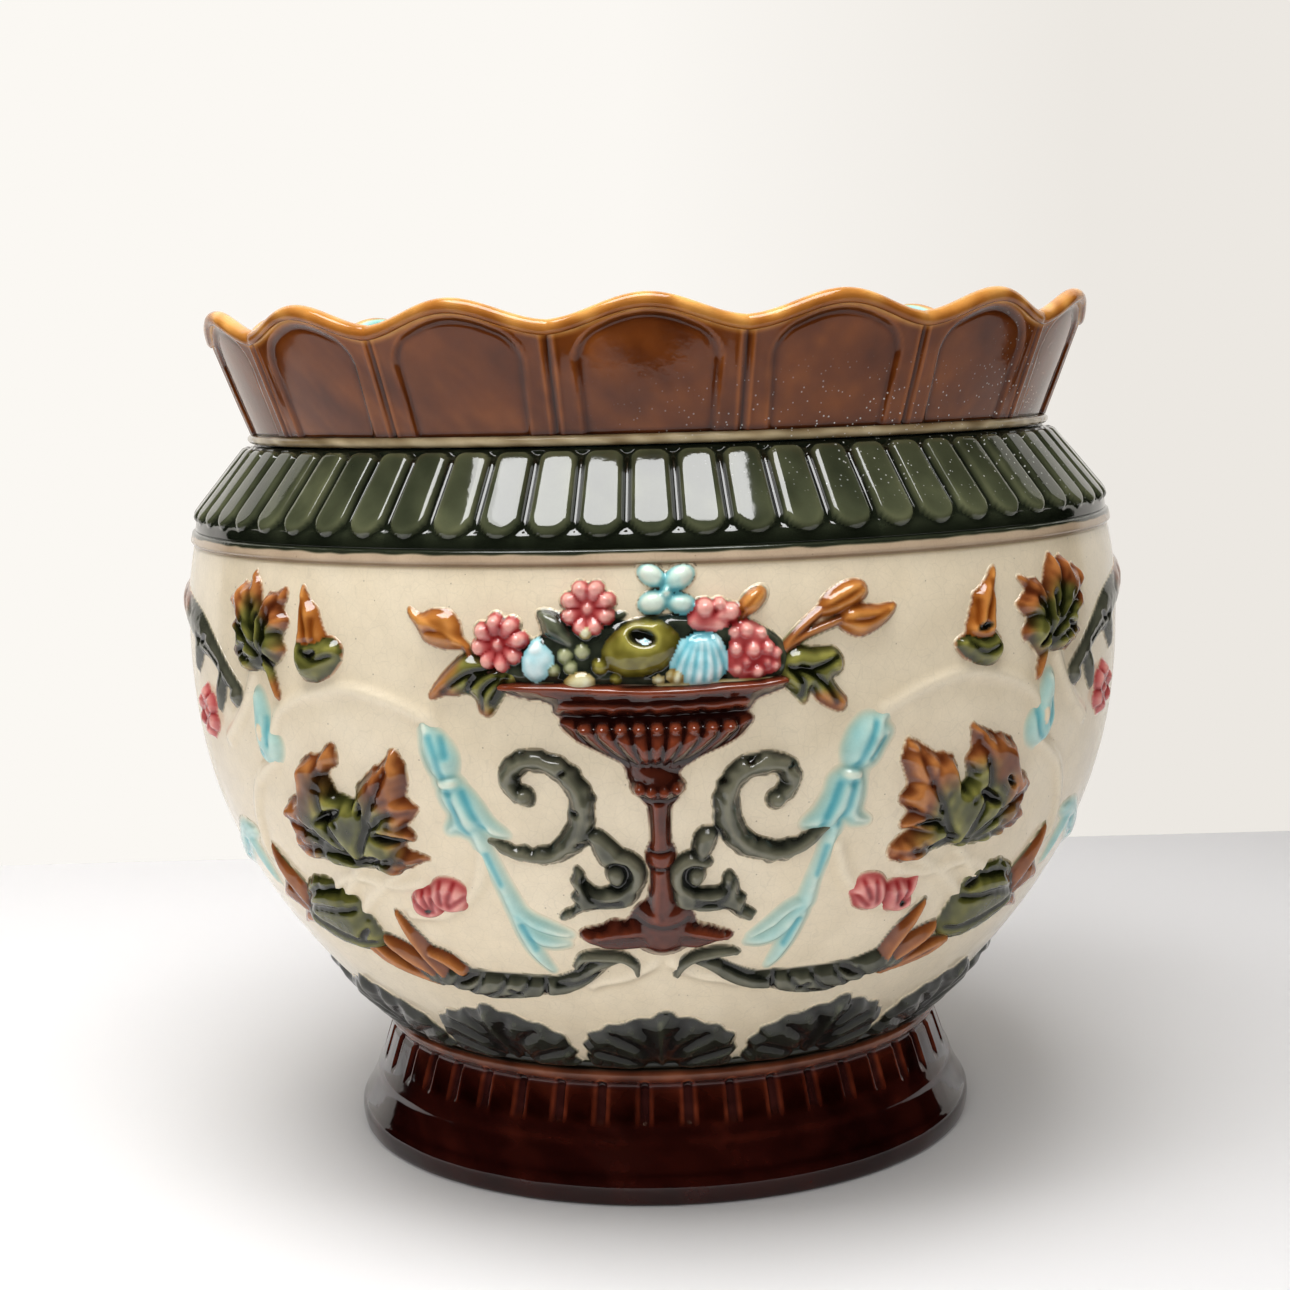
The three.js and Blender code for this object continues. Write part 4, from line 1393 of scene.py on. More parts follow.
@dataclass
class Shoulder:
    """The gadrooned ring that draws the pot in to its neck."""

    level: float = 238.0
    height: float = 32.0
    neck_radius: float = 153.3
    base_radius: float = 176.0
    turn_height: float = 9.0
    tongues: int = 66
    relief: float = 1.7
    groove: float = 2.6
    foot_gap: float = 4.0
    head_gap: float = 2.4
    head_round: float = 3.4
    rows: int = 56
    mean_radius: float = 167.0
    wall: float = 8.0
    columns_per_tongue: int = 16

    def radius_at(self, height: Array) -> Array:
        """Radius of the plain ring at heights above its foot."""
        share = np.clip(height / self.turn_height, 0, 1)
        run = self.turn_height * (share**3 - share**4 / 2) + np.maximum(height - self.turn_height, 0)
        return self.base_radius - (self.base_radius - self.neck_radius) * run / (self.height - self.turn_height / 2)

    def inside_tongue(self, aside: Array, run: Array, half: Array, reach: float) -> Array:
        """How far inside a tongue, round at its foot and squarer at its head, points lie.

        Args:
            aside: distance from the tongue's middle line.
            run: distance up from its middle.
            half: its half width.
            reach: its half length.

        Returns:
            The distance inside its outline.
        """
        turn = np.where(run < 0, half, self.head_round)
        return turn - np.hypot(np.maximum(aside - (half - turn), 0), np.maximum(np.abs(run) - (reach - turn), 0))

    def build(self) -> bpy.types.Object:
        """Sweep the ring with its tongues and lay its olive glaze.

        Returns:
            The piece.
        """
        angles = even_angles(self.tongues * self.columns_per_tongue)
        fine = np.linspace(0, self.height, 800)
        fine_radius = self.radius_at(fine)
        length = np.concatenate(([0], np.cumsum(np.hypot(np.diff(fine), np.diff(fine_radius)))))
        along = np.linspace(0, length[-1], self.rows)
        level = np.interp(along, length, fine)
        radius = np.interp(along, length, fine_radius)
        lean = np.gradient(radius, level)
        aside = np.abs(aside_of(angles, self.tongues))[:, None] * radius[None, :]
        half = (math.pi / self.tongues * radius - self.groove / 2)[None, :]
        low, high = self.foot_gap, length[-1] - self.head_gap
        inside = self.inside_tongue(aside, along - (low + high) / 2, half, (high - low) / 2)
        crown = 0.12 * (1 - np.clip(aside / half, 0, 1) ** 2)
        relief = self.relief * quarter_round(inside / 1.7) * (inside > 0) + crown * ease(inside, 0, 2.5)
        relief -= 1.1 * np.clip(-inside / self.groove * 2, 0, 1) * ease(along[None, :], low, low + 4)
        relief += 0.6 * bell(along - (length[-1] - 1.0), 0.8)[None, :]
        relief += 0.1 * round_drift(angles, along[None, :], 11, 3)
        step = (TAU * self.mean_radius / len(angles), length[-1] / (self.rows - 1))
        depth = 0.45 + ring_depth(relief, step, 0.22, 0.12)
        depth += 0.45 * ease(inside, 0.6, -0.4) + 0.2 * ease(along[None, :], 5, 1)
        depth += 0.13 * round_drift(angles, along[None, :], 8, 5)
        tongue = np.round(angles / TAU * self.tongues)[:, None] * np.ones_like(relief)
        depth += 0.1 * drift(tongue, np.zeros_like(relief), 1, 7)
        depth += 0.3 * bell(along - length[-1], 1.2)[None, :]
        glaze = mixed(*layered(relief.shape, OLIVE), depth)
        size = np.hypot(1, lean)
        out_radius = radius[None, :] + relief / size
        out_level = level[None, :] - relief * (lean / size)[None, :]
        across = bearing(angles)
        pitting = ease(across, 0.02, 0.5)[:, None] * ease(across, 1.3, 0.9)[:, None]
        pitting = pitting * ease(along[None, :] + 14 * across[:, None], 14, 40)
        inner_radius = np.linspace(self.neck_radius - self.wall, self.base_radius - self.wall - 6, 12)
        inside = lining(angles, inner_radius, np.linspace(self.height, 0.0, 12), 0.1, foot=self.level)
        shoulder = Sweep.of(angles, [(out_radius, out_level + self.level, glaze), inside], pitting).shell()
        return shoulder.piece("shoulder_gadroons", CoatKind.SHOULDER, "shoulder")


@dataclass
class NeckBead:
    """The thin pale ring between shoulder and rim."""

    level: float = 270.0
    height: float = 3.5
    neck_radius: float = 153.3
    proud: float = 1.6
    wall: float = 8.0
    columns: int = 720

    def build(self) -> bpy.types.Object:
        """Sweep the bead and lay its beige glaze.

        Returns:
            The piece.
        """
        angles = even_angles(self.columns)
        share = np.linspace(0, 1, 9)
        bulge = np.sin(share * math.pi) ** 0.7
        radius = self.neck_radius + self.proud * bulge
        level = self.level + self.height * share
        wander = 0.12 * round_drift(angles, level[None, :], 15, 3)
        outer = radius[None, :] + wander
        depth = 0.45 - 0.3 * bulge[None, :] + 0.3 * round_drift(angles, level[None, :] * 3, 7, 5)
        glaze = mixed(*layered(outer.shape, BEAD_BEIGE), depth)
        inner_radius = np.full(3, self.neck_radius - self.wall)
        inner_level = self.level + self.height * np.array([1, 0.5, 0])
        shape = (len(angles), 3)
        mint = mixed(*layered(shape, INNER_TURQUOISE), np.full(shape, 0.3))
        across = bearing(angles)
        pitting = (ease(across, -0.1, 0.3) * ease(across, 1.3, 0.9))[:, None] * np.ones(outer.shape)
        bead = Sweep.of(angles, [(outer, level, glaze), (inner_radius, inner_level, mint)], pitting).shell()
        return bead.piece("neck_bead_turned", CoatKind.BEAD, "neck_bead")


@dataclass
class Rim:
    """The flaring rim of arched, sunk panels under a scalloped, rolled lip."""

    level: float = 273.5
    height: float = 45.0
    neck_radius: float = 153.3
    flare: float = 17.0
    scallops: int = 16
    scallop_depth: float = 7.8
    warp: float = 1.8
    lip_height: float = 4.6
    lip_proud: float = 0.7
    roll: Pair = (3.5, 2.9)
    pier_half: float = 7.4
    recess: float = 1.1
    arch_rise: float = 1.6
    arch_frame: float = 1.7
    arch_corner: float = 7.5
    mean_radius: float = 162.0
    mean_height: float = 39.0
    wall: float = 8.0
    columns_per_scallop: int = 60
    rows: int = 58

    def edge_at(self, share: Array) -> Array:
        """Height of the lip's top by how far across a scallop it is, 0 to 1."""
        return self.height - self.scallop_depth * (0.85 * np.sin(share * math.pi / 2) ** 2 + 0.15 * share**1.6)

    def radius_at(self, height: Array) -> Array:
        """Outer radius at heights above the rim's foot."""
        return self.neck_radius + self.flare * height / self.height

    def build(self) -> bpy.types.Object:
        """Sweep the rim with its panels and lip and lay its amber and turquoise glazes.

        Returns:
            The piece.
        """
        angles = even_angles(self.scallops * self.columns_per_scallop)
        half_pitch = math.pi * self.neck_radius / self.scallops
        aside = np.abs(aside_of(angles, self.scallops)) * self.neck_radius
        edge = self.edge_at(aside / half_pitch)[:, None] + self.warp * (1 - np.cos(angles))[:, None] / 2
        lip_foot = edge - self.lip_height
        share = np.linspace(0, 1, self.rows)[None, :]
        level = lip_foot * share
        across = aside[:, None]
        panel_half = half_pitch - self.pier_half
        arch = lip_foot - self.arch_frame - self.arch_rise * (across / panel_half) ** 2
        corner = self.arch_corner
        side = panel_half - 1.6 * (1 - level / lip_foot)
        sunk = corner - np.hypot(
            np.maximum(across - (side - corner), 0), np.maximum(level - (arch - corner), 0)
        )
        relief = -self.recess * ease(sunk, -0.5, 1.9)
        relief -= 0.3 * bell(sunk - 1.2, 0.9)
        relief += 0.12 * bell(sunk + 0.7, 0.7)
        from_join = half_pitch - across
        relief -= 1.0 * bell(from_join, 0.8)
        relief += 0.5 * bell(from_join - 1.9, 0.7)
        relief += 0.1 * round_drift(angles, level, 14, 3)
        step = (TAU * self.mean_radius / len(angles), self.mean_height / self.rows)
        depth = 0.33 + ring_depth(relief, step, 0.2, 0.3)
        depth += 0.17 * bell(sunk - 0.8, 1.5) + 0.4 * bell(from_join, 0.8)
        depth -= 0.16 * bell(from_join - 1.8, 0.5) + 0.1 * bell(sunk + 0.7, 0.6)
        depth += 0.45 * ease(level, 2.4, 0.2) - 0.06 * ease(level, 14, 3)
        depth += 0.16 * round_drift(angles, level * 1.6, 15, 5) + 0.07 * round_drift(angles, level, 4, 6)
        layers = layered(relief.shape, AMBER)
        lip_share = ease(lip_foot - level, 2.4, 0.2)
        layers = shift_to(layers, LIP_AMBER, lip_share)
        depth = depth - 0.25 * lip_share
        out_radius = self.radius_at(level) + relief
        out_glaze = mixed(*layers, depth)
        outside = (out_radius, level + self.level, out_glaze)
        roll_wide, roll_high = self.roll
        inner_share = np.linspace(1, 0, 16)[None, :]
        inner_foot = self.neck_radius - self.wall
        inner_edge = self.radius_at(edge) + self.lip_proud - 2 * roll_wide - self.neck_radius + self.wall
        inner_level = (edge - roll_high - 1.2) * inner_share
        inside = lining(angles, inner_foot + inner_edge * inner_share, inner_level, 0.14, 22, self.level)
        round_from = bearing(angles)
        pitting = (ease(round_from, -0.2, 0.5) * ease(round_from, 1.35, 0.95))[:, None] * ease(level, 26, 2)
        pitting = pitting + (ease(round_from, 0.75, 1.0) * ease(round_from, 1.3, 1.1))[:, None] * 0.5
        parts = [outside, self.lip(angles, edge, from_join), inside]
        rim = Sweep.of(angles, parts, np.clip(pitting, 0, 1)).shell()
        return rim.piece("rim_scalloped", CoatKind.RIM, "rim")

    def lip(self, angles: Array, edge: Array, from_join: Array) -> Part:
        """Roll the lip over, nicked at each join, and let its amber run out on the inside.

        Args:
            angles: the columns.
            edge: height of the lip's top.
            from_join: how far each column stands from the nearest join.

        Returns:
            The lip as a part of the rim's section.
        """
        turn = np.linspace(-0.28 * math.pi, 0.94 * math.pi, 22)[None, :]
        roll_wide, roll_high = self.roll
        centre = self.radius_at(edge) + self.lip_proud - roll_wide
        lip_radius = centre + roll_wide * np.cos(turn)
        lip_level = edge - roll_high + roll_high * np.sin(turn)
        lip_radius = lip_radius - 0.6 * bell(from_join, 1.3) * (np.cos(turn) > 0)
        to_inside = ease(turn, 0.62 * math.pi, 0.8 * math.pi) * np.ones_like(lip_radius)
        lip_layers = shift_to(layered(lip_radius.shape, LIP_AMBER), INNER_TURQUOISE, to_inside)
        # The roll is paler over its crest, glaze broken thin there plus a painted highlight, and darker where it
        # turns under, pooled glaze plus painted shade.
        lip_depth = 0.42 - 0.34 * np.sin(np.clip(turn, 0, None)) + 0.25 * round_drift(angles, turn * 3, 6, 8)
        lip_depth = lip_depth + 0.35 * bell(turn + 0.28 * math.pi, 0.35)
        return lip_radius, lip_level + self.level, mixed(*lip_layers, lip_depth)


@dataclass
class PalmetteBand:
    """The dark girdle round the bowl's foot with its rounded palmettes."""

    count: int = 13
    squeeze: float = 0.72
    ribs: int = 3
    relief: float = 2.8
    shift: float = -2.0

    OUTLINE = [
        (-40, 3), (-44, 8), (-42, 13), (-43, 18), (-39, 22), (-38, 26), (-31, 28.4), (-27, 32), (-20, 32.6),
        (-13, 35.6), (-6, 36), (-2, 39.6), (3, 39.6), (6, 36), (13, 35.4), (19, 31.6), (26, 30.4), (30, 26),
        (35, 23.4), (36, 17), (38.6, 12), (35.6, 8.4), (38, 3), (20, 1.5), (-20, 1.5),
    ]

    def palmette(self) -> Shell:
        """One palmette: a fan of hollow flutes that bend outwards under a lobed edge."""
        cut = Cut(step=0.62, skirt=1.3, lip=0.3, bleed=0.1, spread=0.5)
        sheet = Relief((-46, 0), (42, 42), PALMETTE_GREEN, cut, self.squeeze)
        outline = [(x - self.shift, y) for x, y in self.OUTLINE]
        sheet.mass(outline, self.relief, edge=4.2, under=0.3)
        sheet.stain += 0.34
        for side in (-1, 1):
            for rib in range(self.ribs):
                share = (rib + 0.6) / self.ribs
                tip = (side * (3.4 + 33.6 * share**0.9), 35.5 - 25.5 * share**1.7)
                root = (side * (2.0 + 5.0 * share), 3.0 + 1.4 * (1 - share))
                knee = (side * (2.2 + 15.0 * share), 0.52 * tip[1] + 7.5 * (1 - share))
                sheet.groove([root, knee, tip], width=2.9 - 0.6 * share, depth=1.4, stain=0.4)
                sheet.ridge(
                    [(x + side * 2.9, y - 1.6) for x, y in (knee, tip)], width=1.6, rise=0.3, stain=-0.26
                )
        sheet.ridge([(0, 4), (0, 36)], width=1.1, rise=0.5, stain=-0.3)
        return sheet.shell()

    def girdle(self) -> Shell:
        """The plain ring that the palmettes stand on."""
        angles = even_angles(520)
        share = np.linspace(0, 1, 9)
        up = 0.3 + 4.4 * share
        lift = 0.05 + 1.5 * np.sin(share * math.pi) ** 0.6
        radius, level = WALL.section(up, lift)
        back_up = np.array([3.6, 1.4])
        back_radius, back_level = WALL.section(back_up, np.full(2, -0.4))
        shape = (len(angles), len(share) + 2)
        depth = 0.75 + 0.25 * round_drift(angles, np.arange(shape[1])[None, :], 6, 4)
        radius, level = np.concatenate((radius, back_radius)), np.concatenate((level, back_level))
        return Sweep.of(angles, [(radius, level, mixed(*layered(shape, PALMETTE_GREEN), depth))]).shell()

    def build(self) -> bpy.types.Object:
        """Set the palmettes round the girdle.

        Returns:
            The piece.
        """
        one = self.palmette()
        around = [one.turned(i / self.count * TAU + self.shift / WALL.drawn_radius) for i in range(self.count)]
        return Shell.joined([self.girdle(), *around]).piece("palmette_girdle", CoatKind.PALMETTE, "palmette_band")


# ---------------------------------------------------------------- the tazza faces


def flipped(points: Line) -> list[Point]:
    """A drawing's points in the mirror."""
    return [(-point[0], *point[1:]) for point in points]


@dataclass
class TazzaFace:
    """The sprigs of one tazza face, drawn once and set on the front or the back."""

    turn: Turn

    SOFT = Cut(step=0.66, skirt=2.6, lip=0.45, bleed=0.1, spread=2.7)

    def tazza(self) -> Shell:
        """The footed, gadrooned dish."""
        sheet = Relief((-54, 72), (46, 172), MAROON, Cut(step=0.7))
        stem = [
            (-3, 142, 7.0), (-1, 139.5, 6.8), (0, 136, 6.6), (0, 133.5, 4.6), (0, 130, 3.4), (0, 122, 2.9),
            (0, 116, 3.0), (0, 113.6, 4.2), (0, 111, 4.8), (0, 108.4, 3.6), (0, 104, 3.4), (0, 98, 4.0), (0, 92, 5.4),
            (0, 87, 8.4), (0, 83.5, 12.4),
        ]
        sheet.stain += 0.14
        sheet.band(stem, 4.6, flat=0.8)
        foot = [
            (-31, 80), (-28, 83), (-23, 84), (-18, 86.5), (-13, 86), (-9, 88), (9, 87), (13, 84), (19, 82.5),
            (25, 80.5), (26, 78), (20, 76.5), (12, 74.6), (2, 75.6), (-12, 75), (-20, 74.4), (-27, 77),
        ]
        sheet.mass(foot, 3.4, edge=3.4, ragged=0.5)
        sheet.band([(-24, 81.5, 1.2), (-8, 83.6, 1.9), (10, 83, 1.8), (22, 80, 1.1)], 1.2, under=3.0)
        bowl = [
            (-29, 159), (0, 160), (28, 159), (27.6, 154), (22, 150), (14, 146.6), (8.6, 143.4), (4, 141), (-8, 141),
            (-12, 145), (-21, 149.6), (-27.4, 153.4),
        ]
        sheet.mass(bowl, 5.2, edge=9, crown=1.8)
        for k in range(10):
            top = -25.6 + 5.65 * k
            line = [(top, 157.6), (top * 0.94, 153), (top * 0.7 - 0.5, 148), (top * 0.42 - 1, 144.4)]
            sheet.groove(line, width=0.7, depth=1.5, stain=0.55)
        for k in range(9):
            middle = -22.8 + 5.65 * k
            sheet.bead((middle, 156.0), (2.7, 2.2), 7.7)
            sheet.ridge([(middle * 0.97, 155), (middle * 0.74, 148.5)], width=1.8, rise=0.35, stain=-0.06)
        plate = [
            (-51, 169.6), (-44, 170.4), (-30, 170.2), (-14, 169), (0, 168.4), (16, 169), (30, 170), (41, 170.6),
            (43, 168.4), (37, 165.6), (31, 163.6), (27, 160.4), (0, 159.6), (-30, 160), (-33, 163.6), (-38, 165),
            (-46, 166.6),
        ]
        sheet.mass(plate, 5.6, edge=4.4, ragged=0.5)
        sheet.band([
            (-50, 169, 0.8), (-30, 168.9, 1.3), (0, 167.4, 1.5), (24, 168.3, 1.3), (41, 169.4, 0.8),
        ], 1.3, under=5.2)
        sheet.groove([(-38, 165.4), (-20, 164.8), (0, 164.2), (22, 164.8), (34, 165.8)], width=0.9, depth=0.9)
        for at in ((-6.4, 136.2), (-2.6, 135.4), (1.6, 135.4), (5.6, 136.2)):
            sheet.bead(at, 2.3, 6.4)
        sheet.groove([(-6, 132.8), (0, 131.9), (6, 132.8)], width=0.7, depth=1.0)
        for up in (114.6, 108.2):
            sheet.groove([(-5.4, up), (0, up - 0.5), (5.4, up)], width=0.7, depth=1.0)
        sheet.groove([(-9.5, 88.6), (0, 86.4), (9.5, 87.8)], width=0.8, depth=0.8)
        sheet.ridge([(-1.4, 130), (-1.6, 116)], width=1.0, rise=0.4, stain=-0.25)
        sheet.ridge([(-1.6, 106), (-2.6, 90)], width=1.2, rise=0.4, stain=-0.25)
        return sheet.shell()

    def fruit(self) -> Shell:
        """The heap of flowers and fruit on the dish."""
        sheet = Relief((-62, 166), (46, 208), DARK_LEAF, Cut(step=0.6, skirt=1.3, lip=0.5, bleed=0.3, spread=0.35))
        bed = [
            (-50, 172), (-40, 169.4), (-20, 169), (4, 168.8), (26, 169.4), (40, 170.4), (42, 178), (36, 185),
            (24, 188), (8, 191), (-10, 189), (-22, 190), (-34, 186), (-44, 180),
        ]
        sheet.mass(bed, 2.4, edge=3, glaze=DARK_LEAF)
        leaf = [
            (-37.4, 192.6), (-33, 192.8), (-28, 190), (-24.6, 184.6), (-25.6, 181.2), (-30, 182), (-35, 185),
            (-36.4, 189),
        ]
        sheet.mass(leaf, 3.8, edge=3, glaze=DARK_LEAF)
        sheet.ridge([(-34.5, 191), (-29.6, 186), (-27, 182.4)], width=0.8, rise=0.4)
        sheet.mass([(-20, 186), (-14, 188.6), (-9, 191.6), (-14, 192), (-19, 190)], 2.8, glaze=DARK_LEAF)
        sheet.bead((-37, 176.8), (6.9, 5.9), 5.4, ICE, tilt=65)
        sheet.mass([(-41, 181), (-37, 184.6), (-33.6, 181.4), (-35, 178), (-39, 178)], 5.2, edge=3, glaze=ICE)
        sheet.flower((-50, 182.6), 9.7, 8, 5.2, PINK, start=10)
        sheet.flower((-21, 193.4), 9.2, 8, 5.4, PINK, start=22)
        sheet.bead((-21.6, 186.2), 2.5, 5.4, PALE_FRUIT)
        for at, size in (((-28.4, 179), 3.1), ((-22.8, 180.4), 3.0), ((-26.6, 175.4), 2.8), ((-32, 174.6), 2.6)):
            sheet.bead(at, size, 4.4, Glaze((176, 178, 140), (60, 66, 34)))
        sheet.bead((-17.4, 175.8), 3.3, 4.6, APPLE)
        sheet.bead((-12.6, 171.8), 2.4, 3.8, APPLE)
        sheet.bead((-24, 170.6), (5.6, 4.2), 5.2, PALE_FRUIT, tilt=8)
        sheet.bead((-4.6, 180.8), (13.6, 9.0), 7.8, APPLE, tilt=14)
        sheet.mass([(-16, 181), (-12, 186.6), (-4, 190.2), (4, 189.4), (0, 184), (-8, 180)], 7.4, edge=6, glaze=APPLE)
        sheet.hole((-4, 184.4), (4.3, 2.5), tilt=-14, depth=3.0)
        sheet.bead((-3.2, 183.2), (2.7, 1.2), 5.6, ICE, tilt=0)
        sheet.bead((6.4, 172.4), (4.2, 3.3), 4.8, PALE_FRUIT)
        sheet.bead((0.6, 171.2), (2.6, 2.0), 3.6, PALE_FRUIT)
        sheet.mass([(9, 188), (12, 192.6), (18, 192), (24, 188), (20, 184.6), (13, 185)], 3.8, edge=3, glaze=PINK)
        sheet.bead((13.4, 176.8), (10.4, 8.6), 6.6, ICE, tilt=-6)
        sheet.mass([(7, 182), (12, 186.4), (19, 185.8), (22.4, 181), (20, 175), (10, 177)], 6.2, edge=5, glaze=ICE)
        for across in (-8.4, -5.2, -2, 1.4, 4.8, 7.8):
            line = [(13.2 + across * 1.02, 170.6), (13.8 + across * 0.86, 176.6), (14.4 + across * 0.34, 184.6)]
            sheet.groove(line, width=0.75, depth=1.1, stain=0.55)
        for at, size, tilt in (
            ((-0.8, 203.4), (4.4, 3.1), 152), ((7.9, 202.4), (5.2, 3.5), 30), ((-0.4, 195.0), (4.7, 3.5), 15),
            ((8.4, 194.4), (4.4, 3.1), -10),
        ):
            sheet.bead(at, size, 3.9, TURQUOISE, tilt)
        sheet.bead((3.9, 198.2), 2.0, 3.9, TURQUOISE)
        sheet.groove([(-1, 199.4), (8, 198)], width=0.6, depth=0.6, stain=0.6)
        sheet.mass([(17.4, 189.4), (22, 194.4), (25.6, 191), (23, 188)], 4.2, edge=2, glaze=PINK)
        grapes = (
            (15.6, 192.4, 3.5), (23.8, 191.2, 3.1), (28.2, 185.4, 2.7), (24.8, 179.8, 2.6), (30.2, 179.4, 3.3),
            (34.8, 179.8, 2.5), (25.2, 173.8, 2.2), (31.4, 172.8, 2.7), (37.0, 174.4, 2.1), (37.6, 178.2, 2.1),
            (24.6, 185.0, 2.2), (20.4, 193.6, 2.2), (33.2, 184.4, 2.0), (28.0, 176.0, 1.9), (34.6, 175.6, 1.8),
        )
        sheet.mass([(22, 171), (38, 171), (40, 178), (34, 186), (26, 189), (22, 184)], 3.4, edge=3, glaze=PINK)
        for across, up, size in grapes:
            sheet.bead((across, up), size, 6.0 if size > 2.4 else 5.2, PINK)
        sheet.band([(25.6, 187.6, 0.8), (28.2, 190.6, 1.4)], 2.2, LEAF_OCHRE)
        sheet.bead((31.2, 194.4), (5.3, 3.0), 3.8, BUD_ORANGE, tilt=42)
        sheet.groove([(27.8, 191.4), (31.0, 194.6), (34, 197.4)], width=0.6, depth=0.6, stain=0.4)
        sheet.band([(-38, 169.8, 1.3), (-26, 168.6, 1.4), (-12, 168.6, 1.0)], 2.6, PALE_FRUIT)
        sheet.band([(0, 168.8, 1.0), (16, 169.2, 1.3), (36, 169.8, 1.2)], 2.6, PALE_FRUIT)
        sheet.stain += 0.2 * drift(sheet.x, sheet.y, 5, 11) + 0.12 * drift(sheet.x, sheet.y, 2, 12)
        return sheet.shell()

    def ochre_left(self) -> Shell:
        """The low leaf and the pointed ochre leaf to the left of the fruit."""
        sheet = Relief((-84, 158), (-42, 196), LEAF_OCHRE, Cut(step=0.65, skirt=1.3))
        low = [
            (-75.4, 164.6), (-73, 169), (-68.4, 174), (-62.6, 178.6), (-57, 178.6), (-50, 176.4), (-44.6, 174.4),
            (-43.6, 171), (-48, 168.4), (-51, 164.4), (-54.4, 159.8), (-57.6, 161), (-58.4, 165), (-62, 167),
            (-66, 166), (-70, 166),
        ]
        sheet.mass(low, 3.8, edge=3.6, glaze=LEAF_OCHRE)
        sheet.tint(LEAF_GREEN, (-54, 175), 17, 8)
        for line in (
            [(-49, 174), (-58, 174), (-70, 167)],
            [(-50, 172), (-55, 168), (-56, 162)],
            [(-52, 175), (-57, 172), (-61, 168)],
            [(-47, 172.6), (-50, 168.6), (-53, 164)],
        ):
            sheet.groove(line, width=1.0, depth=1.4, stain=0.7)
        sheet.hole((-59.4, 170.6), (2.6, 1.1), 60, 1.2)
        pointed = [
            (-82.6, 193.4), (-78.4, 191.2), (-73.4, 192.8), (-67.6, 192.4), (-64.4, 188.8), (-63.4, 184.6),
            (-60.4, 181.4), (-63.6, 181), (-70, 181.2), (-76, 183.2), (-79, 187.6), (-81.6, 190.6),
        ]
        sheet.mass(pointed, 3.0, edge=3.4, glaze=BUD_ORANGE)
        sheet.ridge([(-80, 192), (-72, 187.6), (-64, 183)], width=0.8, rise=0.4)
        sheet.groove([(-76, 186), (-70, 186), (-66, 183.6)], width=0.7, depth=0.6)
        sheet.band([(-62.4, 182, 0.7), (-60.6, 179.4, 0.7), (-60, 176.6, 0.9)], 1.6, LEAF_OCHRE)
        return sheet.shell()

    def ochre_right(self) -> Shell:
        """The low leaf and the two long buds to the right of the fruit."""
        sheet = Relief((38, 156), (82, 202), LEAF_OCHRE, Cut(step=0.65, skirt=1.3))
        low = [
            (39.4, 172), (41, 177), (45, 179.2), (51, 178.4), (57.4, 178.2), (60.6, 174.4), (60, 170.6), (56.6, 169),
            (58.4, 165.4), (61.8, 161.2), (60.6, 158.2), (56.6, 159.4), (52, 162.4), (49.6, 166), (47.6, 161.4),
            (44.4, 164.6), (40.4, 168.2),
        ]
        sheet.mass(low, 3.8, edge=3.6, glaze=LEAF_OCHRE)
        sheet.tint(LEAF_GREEN, (47, 175), 17, 9)
        for line in (
            [(42, 173), (50, 172.6), (58, 175.4)],
            [(46, 173), (53, 168), (58, 161)],
            [(43, 172), (46, 168.4), (46.4, 164)],
        ):
            sheet.groove(line, width=1.0, depth=1.4, stain=0.7)
        sheet.hole((58.6, 168.8), (1.8, 0.9), -20, 1.2)
        sheet.band([(41.4, 180.2, 0.9), (48, 186, 1.1), (54.6, 190.8, 1.2)], 1.9, LEAF_OCHRE)
        sheet.band([(41, 178.6, 0.9), (49, 183.2, 1.1), (60.4, 187.0, 1.1)], 1.9, LEAF_OCHRE)
        upper = [
            (53.4, 189), (54.6, 193.6), (59.6, 197.2), (65.4, 199), (69.4, 198), (70, 194.6), (65, 191), (59, 189),
        ]
        lower = [
            (60, 186), (62, 190.4), (68, 191), (74, 190.4), (80.4, 190.6), (78, 186.8), (73, 183.4), (67, 181.6),
            (62.4, 183.4),
        ]
        sheet.mass(upper, 3.2, edge=3.2, glaze=BUD_ORANGE)
        sheet.mass(lower, 3.4, edge=3.2, glaze=BUD_ORANGE)
        sheet.groove([(55, 191), (62, 193.6), (68.6, 197)], width=0.7, depth=0.8)
        sheet.groove([(62, 186.4), (69, 186.2), (77, 188.8)], width=0.7, depth=0.8)
        return sheet.shell()

    def _scroll(self, spine: Line, crumbs: Line) -> Relief:
        """A sheet with a C-scroll on it, its crest line and its crumbled outer edge."""
        low, high = ((-62, 84), (-4, 148)) if spine[0][0] < 0 else ((2, 84), (62, 148))
        sheet = Relief(low, high, GREY, Cut(step=0.65, skirt=1.3))
        sheet.band(spine, 3.8, GREY, flat=0.85, ragged=0.8)
        for at in crumbs:
            sheet.hole(at, (1.5, 1.0), 20, 1.6)
        sheet.ridge([point[:2] for point in spine[1:-1]], width=1.0, rise=0.4, stain=-0.2)
        return sheet

